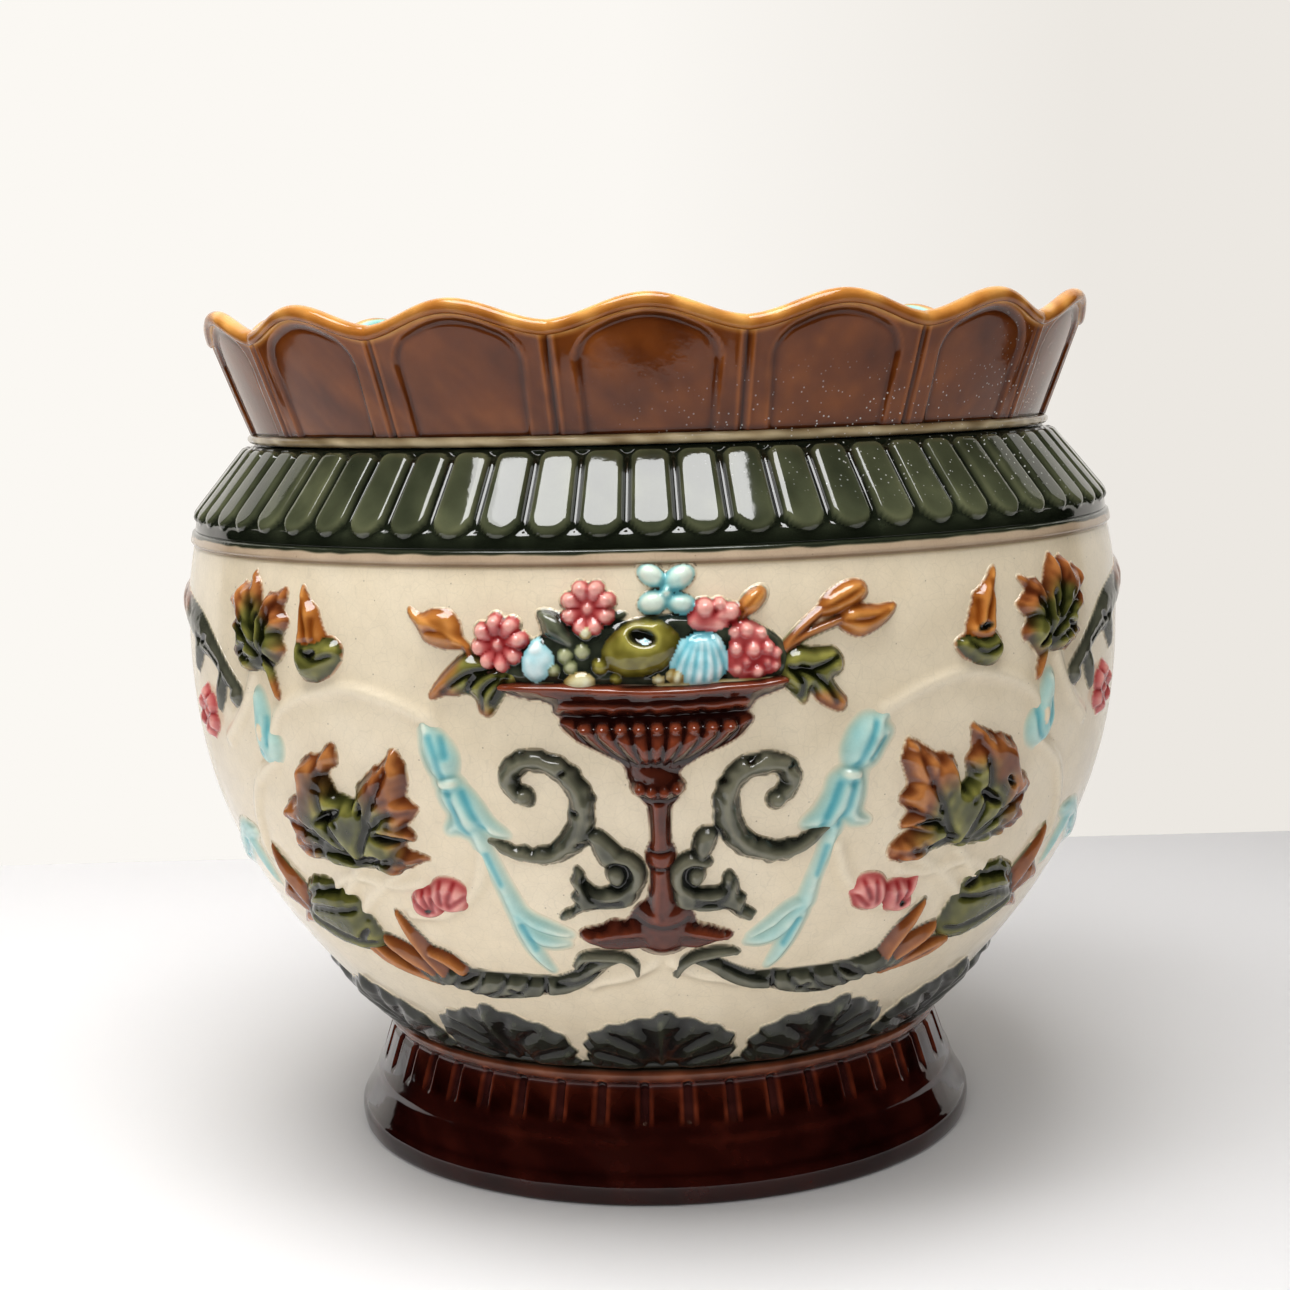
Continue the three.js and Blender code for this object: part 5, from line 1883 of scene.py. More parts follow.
    def scroll_left(self) -> Shell:
        """The grey C-scroll and acanthus to the left of the stem."""
        spine = [
            (-43.6, 131.6, 1.8), (-46.4, 133.2, 2.5), (-49.4, 138, 3.0), (-47, 143.2, 3.3), (-40.4, 145.2, 2.9),
            (-33, 142.6, 3.3), (-27.4, 136.8, 3.8), (-25.4, 129, 4.0), (-27.6, 120.4, 4.0), (-33.6, 114.2, 3.5),
            (-41, 112, 2.7), (-50, 113.2, 2.1), (-58.6, 116.4, 1.0),
        ]
        sheet = self._scroll(spine, [(-31, 141.6), (-27.6, 128.4), (-27, 117.2)])
        sheet.bead((-44.6, 133.2), 3.0, 4.4, GREY)
        bud = [
            (-26, 120.8), (-20.6, 121.4), (-16, 117.6), (-12, 112.4), (-15.6, 109.8), (-19.6, 108.6), (-22, 112.6),
            (-23.4, 117),
        ]
        sheet.mass(bud, 3.4, edge=2.6)
        body = [
            (-29.4, 107.6), (-27.4, 106), (-26.4, 102.4), (-22.4, 99.6), (-17.4, 100.4), (-9.4, 106), (-7.6, 101),
            (-9, 96), (-12.6, 93), (-20, 92), (-27.4, 91), (-32.4, 88.6), (-37, 87), (-35, 90.4), (-30.4, 93),
            (-31.6, 96), (-30, 99), (-31, 103),
        ]
        sheet.mass(body, 3.8, edge=2.8, ragged=0.5)
        sheet.band([
            (-19.6, 111.2, 1.6), (-13.6, 112, 2.4), (-8.8, 108.4, 2.8), (-8.6, 102.6, 2.8), (-11.6, 99.4, 2.2),
        ], 4.4)
        sheet.bead((-15.4, 105.4), (3.4, 4.2), 4.4, tilt=10)
        sheet.groove([(-12, 109.6), (-11.4, 104.6), (-14.4, 100.8), (-18.6, 101)], width=0.9, depth=1.8, stain=0.8)
        sheet.groove([(-28, 104), (-24, 97), (-14, 95)], width=0.9, depth=1.0)
        sheet.groove([(-32, 90.6), (-22, 94.4), (-14, 96.4)], width=0.7, depth=0.8)
        sheet.hole((-21, 101.4), (2.4, 0.9), 0, 1.6)
        return sheet.shell()

    def scroll_right(self) -> Shell:
        """The grey C-scroll and acanthus to the right of the stem."""
        spine = [
            (38.6, 129.8, 2.0), (41.6, 132.6, 2.8), (43.4, 137.4, 3.0), (40.6, 141.6, 3.2), (33.6, 142.8, 3.2),
            (27, 140.6, 3.4), (22.8, 135, 3.6), (21.8, 128, 3.8), (24, 120.6, 4.0), (29.4, 114.8, 3.8),
            (37, 111.8, 3.4), (45, 112.2, 3.0), (51, 115.6, 2.4), (57.6, 119.6, 1.0),
        ]
        sheet = self._scroll(spine, [(29.6, 143.6), (42.6, 141.6), (20.4, 137.6), (32.8, 117.6), (40.6, 109.6)])
        sheet.bead((38.6, 130.2), 2.9, 4.4, GREY)
        bud = [(11, 113.4), (11.6, 118.6), (14.2, 121.4), (18.6, 120.6), (18, 116), (16, 111.6), (13, 110)]
        sheet.mass(bud, 3.6, edge=2.6)
        body = [
            (4, 98), (5, 93.4), (9, 91), (16, 90.6), (23, 90.4), (28, 87), (31.6, 85.6), (34.4, 88), (29.6, 91),
            (30, 94.4), (27, 97), (26.4, 101), (24, 104.8), (22, 103), (21, 99.6), (14, 99), (8, 101), (7, 106),
            (4.6, 104),
        ]
        sheet.mass(body, 3.8, edge=2.8, ragged=0.5)
        sheet.band([(15.6, 109, 1.6), (10, 110.6, 2.4), (5.8, 106.8, 2.8), (6, 101, 2.6), (9.6, 98.4, 2.2)], 4.4)
        sheet.bead((12, 104.6), (3.0, 4.0), 4.4, tilt=-10)
        sheet.groove([(8.4, 107.6), (8.4, 102.6), (12, 99.6), (17, 99.8)], width=0.9, depth=1.8, stain=0.8)
        sheet.groove([(24, 102), (21, 96), (12, 94.4)], width=0.9, depth=1.0)
        sheet.groove([(28, 90), (20, 94), (12, 96.4)], width=0.7, depth=0.8)
        return sheet.shell()

    def _ribbon(
        self,
        bulb: Line,
        knot: Point,
        body: Line,
        streamer: Line,
        fans: Sequence[Line],
        folds: Sequence[Line],
    ) -> Shell:
        """A knotted ribbon hanging from its bulb, with a fanned tail."""
        sheet = Relief.around([bulb, body, streamer, *fans], (2, 2), TURQUOISE, self.SOFT)
        for fan in fans:
            sheet.band(fan, 1.7, flat=1.1)
        sheet.band(streamer, 2.0, flat=1.1)
        sheet.mass(body, 3.4, edge=6)
        sheet.mass(bulb, 4.2, edge=7)
        sheet.bead(knot, (4.2, 2.4), 3.6)
        for fold in folds:
            sheet.groove(fold, width=1.3, depth=1.0, stain=0.55)
        return sheet.shell()

    def ribbon_left(self) -> Shell:
        """The turquoise ribbon to the left."""
        return self._ribbon(
            [
                (-79, 157.4), (-74.6, 154.6), (-70.4, 151), (-67.4, 145.6), (-68.6, 139.4), (-73, 137), (-77, 139.6),
                (-79.4, 146), (-79.6, 152),
            ],
            (-71, 136.6),
            [
                (-75, 134), (-70, 137), (-65, 135.4), (-60.6, 130), (-57, 124), (-52, 119), (-57, 118.4),
                (-61, 120.6), (-65, 117.6), (-70, 119), (-74.4, 119.4), (-72, 125), (-74, 129),
            ],
            [(-63.4, 120, 2.8), (-60.4, 110, 2.4), (-56.6, 99, 2.4), (-54, 90, 3.2)],
            [
                [(-55, 92, 2.4), (-50, 86, 2.8), (-42, 82, 2.4), (-35.4, 80, 0.8)],
                [(-54.6, 90, 2.6), (-51, 80, 3.2), (-43.6, 76.4, 2.4), (-37, 76, 0.8)],
                [(-54, 86, 2.4), (-51.6, 76, 2.8), (-49, 69, 2.2), (-45.4, 63, 0.8)],
            ],
            [
                [(-76, 152), (-73.4, 146), (-72.6, 139.4)],
                [(-72, 152), (-70.6, 146)],
                [(-71, 134), (-69, 127), (-66, 120)],
                [(-66, 134), (-63, 127), (-60, 122)],
                [(-60.6, 112), (-57.4, 101)],
                [(-52.6, 84), (-49, 74)],
            ],
        )

    def ribbon_right(self) -> Shell:
        """The turquoise ribbon to the right."""
        return self._ribbon(
            [
                (78.4, 157.4), (74.4, 155.6), (68.4, 155.6), (64, 151.6), (61.4, 145.4), (62.6, 139.6), (67.4, 138),
                (73, 140), (76, 145), (78.6, 149.6), (76.4, 152.6),
            ],
            (64.4, 136.6),
            [
                (58, 136.4), (63.6, 137.4), (69, 135.4), (69.6, 129), (69, 123), (72.6, 119.4), (67, 119),
                (62.6, 121), (59, 118), (53, 118.4), (48.6, 120.4), (53, 125.4), (56, 131),
            ],
            [(60, 120, 2.6), (57.6, 110, 2.2), (54.6, 100, 2.2), (53, 91, 3.0)],
            [
                [(52.6, 91, 2.4), (46.6, 88.4, 2.0), (41, 83, 2.0), (33.4, 77.4, 0.8)],
                [(53, 90, 2.6), (46, 80.4, 3.0), (39, 76, 2.4), (32.6, 75, 0.8)],
                [(52, 86, 2.4), (48.6, 76, 2.8), (45.4, 68, 2.2), (42.6, 63, 0.8)],
            ],
            [
                [(72, 153), (68.4, 146), (66, 140)],
                [(75, 148), (71, 142)],
                [(65, 134), (63.4, 127), (61, 120)],
                [(60, 134), (57.6, 127), (55, 121)],
                [(57.6, 112), (55.4, 102)],
                [(51, 84), (46.6, 74)],
            ],
        )

    def _leaf(
        self,
        outlines: Sequence[Line],
        heart: Point,
        veins: Sequence[Line],
        holes: Sequence[tuple[Point, Point, float]],
        height: float,
        green: Pair,
        tip: Glaze = LEAF_OCHRE,
    ) -> Shell:
        """A lobed leaf, green at its heart and ochre at its tips, with veins and dark pockets."""
        sheet = Relief.around(outlines, (1, 1), LEAF_GREEN, Cut(step=0.7, skirt=1.4))
        for outline in outlines:
            if len(outline[0]) > 2:
                sheet.band(outline, height * 0.6)
            else:
                sheet.mass(outline, height, edge=4.6, crown=0.7, ragged=0.8)
        sheet.tint(tip, heart, *green)
        sheet.stain += 0.22 * drift(sheet.x, sheet.y, 7, 2) + 0.12 * drift(sheet.x, sheet.y, 2.6, 6)
        for vein in veins:
            sheet.groove(vein, width=1.5, depth=1.4, stain=0.42)
            start, end = np.array(vein[0], float), np.array(vein[-1], float)
            reach = float(np.hypot(*(end - start)))
            if reach > 12:
                aside = np.array([-(end - start)[1], (end - start)[0]]) / reach
                for share in (0.42, 0.68):
                    root = start + (end - start) * share
                    for side in (-1, 1):
                        ahead = root + (end - start) / reach * 4.2 + side * aside * 4.2
                        sheet.groove([tuple(root), tuple(ahead)], width=1.0, depth=0.5, stain=0.15)
        for at, size, tilt in holes:
            sheet.hole(at, size, tilt, 2.6)
        return sheet.shell()

    def vine_left(self) -> Shell:
        """The large vine leaf to the left."""
        outline = [
            (-118, 146.6), (-124, 142), (-130, 141.6), (-136, 137.6), (-137, 131), (-140, 126.6), (-146.6, 123.6),
            (-148.6, 118.6), (-145, 114), (-146.6, 108), (-141, 103.4), (-130, 102.6), (-119, 101.4), (-109, 103),
            (-100, 101), (-92, 104.6), (-84.4, 108.6), (-92, 110.6), (-93, 113.6), (-88, 116.6), (-90, 120),
            (-85, 126), (-88.6, 130.6), (-87.4, 135.6), (-88.4, 142.6), (-91.6, 146.4), (-96.4, 141.6), (-103, 137.4),
            (-108, 132.6), (-110.6, 128), (-114, 128.4), (-119.4, 130.6), (-121.4, 136), (-117, 140.6),
        ]
        return self._leaf(
            [outline],
            (-115, 115),
            [
                [(-112, 106), (-104, 122), (-93, 140)],
                [(-114, 106), (-124, 122), (-124, 140)],
                [(-116, 107), (-132, 116), (-144, 119)],
                [(-108, 106), (-98, 108), (-88, 108)],
                [(-110, 112), (-98, 124), (-88, 126)],
                [(-118, 108), (-130, 110), (-143, 108)],
            ],
            [
                ((-96.4, 116.4), (6.2, 1.9), -8), ((-108, 107.2), (6.0, 2.0), 18), ((-121.6, 122.6), (6.4, 1.9), 22),
                ((-106, 126.6), (2.6, 1.1), 70),
            ],
            5.0,
            (15, 25),
        )

    def vine_right(self) -> Shell:
        """The large vine leaf to the right."""
        outline = [
            (85, 146.4), (84.6, 138), (87, 130), (84, 126), (89, 120.6), (86, 116.4), (91.6, 114), (86, 111.6),
            (83, 107.4), (86, 103.6), (94, 102), (103, 105.6), (111, 105.6), (120, 104), (131, 105.4), (141.6, 109),
            (145.6, 114.6), (142, 119), (147, 124.4), (140, 128.6), (137.4, 132), (133, 139.6), (128, 142.4),
            (120, 144.6), (112, 148.4), (113.6, 142), (111.6, 136), (113, 130), (109.6, 127.4), (107.4, 133),
            (103, 139.4), (98, 139.4), (92, 142.4),
        ]
        return self._leaf(
            [outline],
            (113, 114),
            [
                [(108, 107), (100, 122), (88, 142)],
                [(112, 108), (120, 126), (115, 144)],
                [(114, 108), (130, 118), (142, 124)],
                [(106, 107), (96, 108), (86, 107)],
                [(108, 111), (98, 118), (88, 122)],
                [(116, 107), (128, 110), (142, 112)],
            ],
            [
                ((103, 109.4), (6.2, 2.0), 10), ((121, 123.6), (5.2, 2.0), -28), ((108.6, 130), (1.4, 3.0), 0),
                ((95, 117), (4.6, 1.1), 4), ((130, 128), (3.0, 1.2), -40),
            ],
            5.0,
            (15, 25),
        )

    def top_leaf_left(self) -> Shell:
        """The small upper leaf to the left."""
        outline = [
            (-174, 192), (-168.6, 194), (-164, 198.6), (-159.6, 198), (-157, 202.4), (-153, 197.4), (-150.6, 190.6),
            (-147, 195.6), (-142, 196), (-137, 197), (-139, 190.6), (-135.4, 187), (-139.6, 182), (-138, 176.6),
            (-143.6, 173), (-146, 168.6), (-152.6, 169.6), (-159, 168), (-165.6, 171), (-171, 176), (-166, 179),
            (-169.6, 183.6), (-168, 188),
        ]
        return self._leaf(
            [outline, [(-147, 171, 1.3), (-144.6, 165, 1.3), (-143, 160.6, 0.8)]],
            (-152, 178),
            [
                [(-150, 172), (-154, 186), (-157, 199)],
                [(-149, 172), (-146, 184), (-141, 193)],
                [(-151, 172), (-160, 174), (-168, 176)],
                [(-151, 175), (-162, 184), (-170, 191)],
            ],
            [((-151.6, 184.6), (1.2, 4.6), 6), ((-146.4, 173.6), (3.6, 1.4), -50), ((-160.6, 176.6), (3.6, 1.2), 20)],
            3.8,
            (9, 17),
        )

    def top_leaf_right(self) -> Shell:
        """The small upper leaf to the right."""
        outline = [
            (136.6, 195), (141, 193.6), (146.6, 193), (149.6, 189.6), (152, 196), (156, 201), (160.6, 199.4),
            (164.4, 200.4), (168, 196), (174, 196), (180, 191), (175, 187.4), (176.4, 181.6), (171, 178.6),
            (173.6, 173), (167, 170), (159, 168), (153, 169.6), (147.6, 168.4), (142, 172), (137, 176.6),
            (140.4, 181), (135, 186), (139.6, 190),
        ]
        return self._leaf(
            [outline, [(150, 171, 1.3), (147.4, 165, 1.3), (146, 160.6, 0.8)]],
            (154, 178),
            [
                [(152, 172), (157, 186), (159, 198)],
                [(151, 172), (147, 183), (140, 192)],
                [(153, 172), (163, 175), (171, 175)],
                [(153, 175), (165, 184), (176, 190)],
            ],
            [((153, 185), (1.2, 4.6), -6), ((147.4, 173.6), (3.6, 1.4), 50), ((163.6, 177), (3.6, 1.2), -20)],
            3.8,
            (9, 17),
        )

    def _bloom(self, left: Line, right: Line, folds: Sequence[Line], eye: Point) -> Shell:
        """A pair of pink blooms that lean together."""
        sheet = Relief.around([left, right], (0, 0), PINK, Cut(step=0.6, skirt=1.3, bleed=0.3, spread=0.6))
        sheet.mass(left, 3.2, edge=3.6)
        sheet.mass(right, 3.6, edge=3.6)
        for fold in folds:
            sheet.groove(fold, width=0.9, depth=1.0, stain=0.45)
        sheet.hole(eye, (1.3, 0.8), 10, 0.8)
        return sheet.shell()

    def bloom_left(self) -> Shell:
        """The pink blooms to the left."""
        return self._bloom(
            [(-97, 91), (-92.6, 96), (-86.4, 97.4), (-82.6, 92.6), (-83.6, 87.4), (-90, 84), (-96, 86)],
            [
                (-86, 98), (-81.6, 101), (-75.4, 100.6), (-71.4, 96.4), (-73.4, 90), (-79.4, 87.6), (-84.6, 89.4),
                (-87.6, 94),
            ],
            [
                [(-90, 95.6), (-88.4, 89)], [(-94, 92.4), (-90, 88)], [(-86, 94), (-87, 88.6)],
                [(-76, 99.6), (-79.4, 93)], [(-73, 95), (-79, 91.6)], [(-81.4, 99.6), (-82, 93)],
            ],
            (-89.4, 88.4),
        )

    def bloom_right(self) -> Shell:
        """The pink blooms to the right."""
        return self._bloom(
            [(70, 93.6), (74, 98.6), (81, 98), (85, 93.6), (85.4, 88), (80.6, 84), (74, 86), (71.6, 90)],
            [
                (85.4, 93.4), (90, 95.4), (94, 94.4), (99, 95.6), (98, 89.6), (98.6, 84), (92, 81.6), (86.4, 83.6),
                (84.6, 88),
            ],
            [
                [(74.4, 97), (78, 90.6)], [(79.4, 96.4), (81, 89)], [(72.4, 92), (77, 88)],
                [(89, 94), (90, 88)], [(94.6, 93.4), (92.4, 88)], [(97, 89), (92, 86.6)],
            ],
            (92.6, 86.4),
        )

    def _festoon(
        self, hook: Line, body: Line, husks: Sequence[Line], joint: float, side: int
    ) -> Shell:
        """The grey festoon with its joint and its ochre husks."""
        sheet = Relief.around([hook, body, *husks], (7, 3), GREY, Cut(step=0.65, skirt=1.4))
        for husk in husks:
            sheet.band(husk, 3.2, LEAF_OCHRE, flat=1.1)
        sheet.band(body, 4.2, GREY, flat=0.9)
        sheet.band(hook, 3.0, GREY, flat=0.9)
        for husk in husks:
            sheet.ridge([point[:2] for point in husk], width=0.8, rise=0.5, stain=-0.2)
        gap = [(side * joint, 61), (side * (joint - 1), 56), (side * (joint + 1.5), 50.6)]
        sheet.groove(gap, width=0.9, depth=2.2, stain=1.0)
        sheet.hole((side * (joint + 13), 53.6), (3.4, 1.2), 20 * side, 1.8)
        sheet.hole((side * (joint + 34), 57.4), (5.2, 1.5), -16 * side, 1.8)
        for start in (joint + 6, joint + 16, joint + 27, joint + 38):
            fold = [(side * start, 58), (side * (start + 6), 53), (side * (start + 15), 50.6)]
            sheet.groove(fold, width=0.9, depth=1.0, stain=0.3)
        sheet.groove([(side * 24, 66), (side * 34, 60), (side * 44, 57.6)], width=0.8, depth=0.9)
        return sheet.shell()

    def festoon_left(self) -> Shell:
        """The festoon to the left, with its husks."""
        return self._festoon(
            [
                (-10.4, 61.6, 1.0), (-11.4, 66.4, 1.5), (-16, 70.4, 1.7), (-24, 71, 1.8), (-31, 70, 1.4),
                (-35, 65, 0.9),
            ],
            [
                (-16, 70, 1.6), (-24, 67.4, 2.6), (-32, 60.6, 3.6), (-41, 56, 4.0), (-50, 54.6, 4.4),
                (-62, 53.6, 5.6), (-75, 53, 6.4), (-88, 54.6, 5.8), (-100, 56, 4.0), (-110, 57.6, 2.2),
            ],
            [
                [(-96, 58, 4.0), (-100, 66, 4.2), (-104, 75, 3.0), (-107.4, 84, 0.9)],
                [(-86, 60, 2.4), (-91, 65, 2.6), (-98, 68, 2.0)],
                [(-100, 57, 3.6), (-110, 64, 4.4), (-117, 68.6, 3.2), (-121, 71, 1.0)],
                [(-98, 53, 2.2), (-112, 57, 2.6), (-124, 61, 2.4), (-134, 66.6, 1.0)],
                [(-104, 56, 3.0), (-118, 60, 2.8), (-132, 68, 1.0)],
            ],
            50,
            -1,
        )

    def festoon_right(self) -> Shell:
        """The festoon to the right, with its husks."""
        return self._festoon(
            [(5.4, 60.6, 1.0), (7.4, 65.6, 1.7), (12, 69.8, 1.9), (19, 71.4, 1.9), (26, 71.6, 1.4), (29, 70.4, 0.8)],
            [
                (12, 69, 1.8), (19, 66, 2.8), (27, 60.6, 3.6), (36, 56.6, 3.8), (45, 55.6, 4.2), (56, 53.6, 5.6),
                (70, 53, 6.4), (84, 55, 5.6), (96, 58.4, 5.2), (108, 57.4, 2.2),
            ],
            [
                [(96, 60, 4.4), (99, 69, 4.0), (103, 76, 2.8), (106.6, 83, 0.9)],
                [(98, 58, 4.6), (108, 64, 5.0), (115, 68, 3.6), (118.4, 71, 1.0)],
                [(96, 54, 2.6), (110, 56.6, 2.8), (122, 59, 2.4), (131, 62.6, 0.9)],
                [(104, 57, 3.0), (118, 60.6, 2.6), (130, 63, 0.9)],
            ],
            46,
            1,
        )

    def _green_bud(self, outline: Line, tips: Sequence[Line], seams: Sequence[Line], heart: Point) -> Shell:
        """A plump green bud with ochre husk tips."""
        sheet = Relief.around([outline, *tips], (2, 2), LEAF_GREEN, Cut(step=0.75, skirt=1.4))
        for tip in tips:
            sheet.band(tip, 3.0, LEAF_OCHRE, flat=1.1)
        sheet.mass(outline, 4.6, edge=8, glaze=LEAF_GREEN, crown=1.0, ragged=0.6)
        for seam in seams:
            sheet.groove(seam, width=1.3, depth=1.5, stain=0.55)
        sheet.hole(heart, (3.4, 1.4), 40, 1.8)
        return sheet.shell()

    def green_bud_left(self) -> Shell:
        """The green bud to the left."""
        return self._green_bud(
            [
                (-124, 66), (-121.4, 72), (-123, 80), (-127, 88), (-136, 93.4), (-146, 94), (-156, 89), (-163, 80),
                (-163.6, 72), (-156, 67), (-148, 63.6), (-138, 62), (-130, 63),
            ],
            [
                [(-156, 78, 5.2), (-164, 86, 5.6), (-170, 94, 3.6), (-173, 102, 0.9)],
                [(-158, 76, 4.6), (-169, 81, 5.2), (-178, 82, 3.4), (-184, 79, 0.9)],
                [(-156, 72, 4.0), (-168, 73, 3.6), (-180, 68, 0.9)],
            ],
            [
                [(-126, 70), (-140, 74), (-158, 80)], [(-128, 84), (-142, 84), (-158, 82)], [
                    (-130, 65), (-144, 67.6), (-158, 73),
                ],
                [(-134, 91), (-146, 90), (-156, 85)],
            ],
            (-127.6, 74),
        )

    def green_bud_right(self) -> Shell:
        """The green bud to the right."""
        return self._green_bud(
            [
                (120, 72), (121.4, 80), (126, 88), (132, 92.4), (142, 93.6), (153, 90), (161.6, 82), (163, 74),
                (156, 68), (146, 63), (136, 61), (128, 62.4), (122.6, 66),
            ],
            [
                [(156, 78, 5.2), (164, 86, 5.6), (169, 94, 3.6), (172, 102, 0.9)],
                [(158, 76, 4.6), (169, 81, 5.2), (178, 82, 3.4), (184, 78, 0.9)],
                [(156, 72, 4.0), (168, 72, 3.6), (180, 67, 0.9)],
            ],
            [
                [(124, 70), (140, 74), (158, 79)], [(126, 83), (142, 84), (158, 81)], [
                    (130, 64), (144, 67), (158, 72),
                ],
                [(133, 90.6), (146, 89.6), (156, 84)],
            ],
            (128.6, 88),
        )

    def _top_bud(self, husk: Line, base: Line, seams: Sequence[Line], heart: Point) -> Shell:
        """A pointed orange husk over a green base."""
        sheet = Relief.around([husk, base], (0, 0), LEAF_OCHRE, Cut(step=0.7, skirt=1.4))
        sheet.mass(husk, 3.4, edge=4, glaze=BUD_ORANGE, ragged=0.4)
        sheet.mass(base, 4.0, edge=4.6, glaze=LEAF_GREEN, ragged=0.4)
        for seam in seams:
            sheet.groove(seam, width=1.0, depth=1.0, stain=0.5)
        sheet.hole(heart, (3.2, 1.3), 10, 1.4)
        return sheet.shell()

    def top_bud_left(self) -> Shell:
        """The upper bud to the left."""
        return self._top_bud(
            [
                (-129.4, 199), (-125.6, 195), (-122, 191.6), (-119.4, 187), (-117.6, 183), (-119.4, 179.4),
                (-130, 179), (-129.6, 187),
            ],
            [
                (-130.6, 181), (-123, 181.4), (-117, 182.4), (-111, 181), (-110.6, 176.4), (-115.4, 171),
                (-121, 167.6), (-128, 168.4), (-131.6, 174),
            ],
            [[(-127.6, 194), (-125, 186), (-124.6, 181)], [(-122, 188), (-121, 182)], [
                (-126, 178), (-120, 175), (-113, 177),
            ]],
            (-121.6, 177.2),
        )

    def top_bud_right(self) -> Shell:
        """The upper bud to the right."""
        return self._top_bud(
            [
                (124.4, 199.6), (119, 194.6), (113.6, 191), (111.4, 185), (109, 179.6), (113, 176.6), (121, 177),
                (122.6, 185), (123, 192),
            ],
            [
                (105, 176.4), (109.4, 178.6), (115, 177.4), (121.6, 178.6), (125.6, 174), (123.4, 169), (117.6, 167),
                (111.4, 169.6), (107.4, 172.6),
            ],
            [[(122, 195), (118, 187), (116, 180)], [(114, 189), (112.6, 182)], [
                (109, 176), (115, 172.4), (122, 174),
            ]],
            (115.4, 180.6),
        )

    def _drop(self, outline: Line, heart: Point) -> Shell:
        """A turquoise teardrop with a pale heart."""
        sheet = Relief.around([outline], (0, 0), TURQUOISE, self.SOFT)
        sheet.mass(outline, 2.4, edge=4)
        sheet.bead(heart, (2.6, 5.2), 3.2, CREAM)
        x, y = heart
        sheet.groove([(x - 4, y + 6), (x - 3.6, y - 4), (x, y - 8)], width=1.1, depth=0.8)
        sheet.groove([(x + 3.6, y + 5), (x + 3.4, y - 4)], width=1.0, depth=0.7)
        return sheet.shell()

    def drop_left(self) -> Shell:
        """The teardrop to the left."""
        return self._drop(
            [
                (-158, 161.4), (-154, 162), (-151, 157), (-149, 150), (-145, 144), (-147, 138.4), (-153, 136),
                (-158, 139), (-160, 146), (-159, 154),
            ],
            (-154, 148),
        )

    def drop_right(self) -> Shell:
        """The teardrop to the right."""
        return self._drop(
            [
                (152, 162), (155.6, 160), (156.4, 152), (157.4, 145), (154, 138.6), (148, 136.4), (142.6, 139),
                (141.6, 145), (146, 151), (149, 157),
            ],
            (149.6, 147),
        )

    def draw(self) -> dict[str, Shell]:
        """Draw every sprig of a face, by its name."""
        return {
            "tazza": self.tazza(),
            "fruit_cluster": self.fruit(),
            "ochre_sprig_left": self.ochre_left(),
            "ochre_sprig_right": self.ochre_right(),
            "grey_scroll_left": self.scroll_left(),
            "grey_scroll_right": self.scroll_right(),
            "ribbon_left": self.ribbon_left(),
            "ribbon_right": self.ribbon_right(),
            "vine_leaf_left": self.vine_left(),
            "vine_leaf_right": self.vine_right(),
            "pink_bloom_left": self.bloom_left(),
            "pink_bloom_right": self.bloom_right(),
            "festoon_left": self.festoon_left(),
            "festoon_right": self.festoon_right(),
            "green_bud_left": self.green_bud_left(),
            "green_bud_right": self.green_bud_right(),
            "top_leaf_left": self.top_leaf_left(),
            "top_leaf_right": self.top_leaf_right(),
            "top_bud_left": self.top_bud_left(),
            "top_bud_right": self.top_bud_right(),
            "ribbon_drop_left": self.drop_left(),
            "ribbon_drop_right": self.drop_right(),
        }

    COATS = {
        "tazza": CoatKind.TAZZA,
        "fruit": CoatKind.FRUIT,
        "ochre": CoatKind.OCHRE,
        "grey": CoatKind.GREY,
        "ribbon": CoatKind.TURQUOISE,
        "vine": CoatKind.LEAF,
        "pink": CoatKind.PINK,
        "festoon": CoatKind.GREY,
        "green": CoatKind.LEAF,
        "top": CoatKind.LEAF,
    }

    def build(self, sprigs: dict[str, Shell]) -> list[bpy.types.Object]:
        """Set a face's sprigs on the bowl.

        Args:
            sprigs: the drawn sprigs, by name.

        Returns:
            The pieces.
        """
        face = self.turn.name.lower()
        return [
            shell.turned(self.turn.angle).piece(
                f"{face}_{name}_relief", self.COATS[name.split("_")[0]], f"{face}_{name}"
            )
            for name, shell in sprigs.items()
        ]


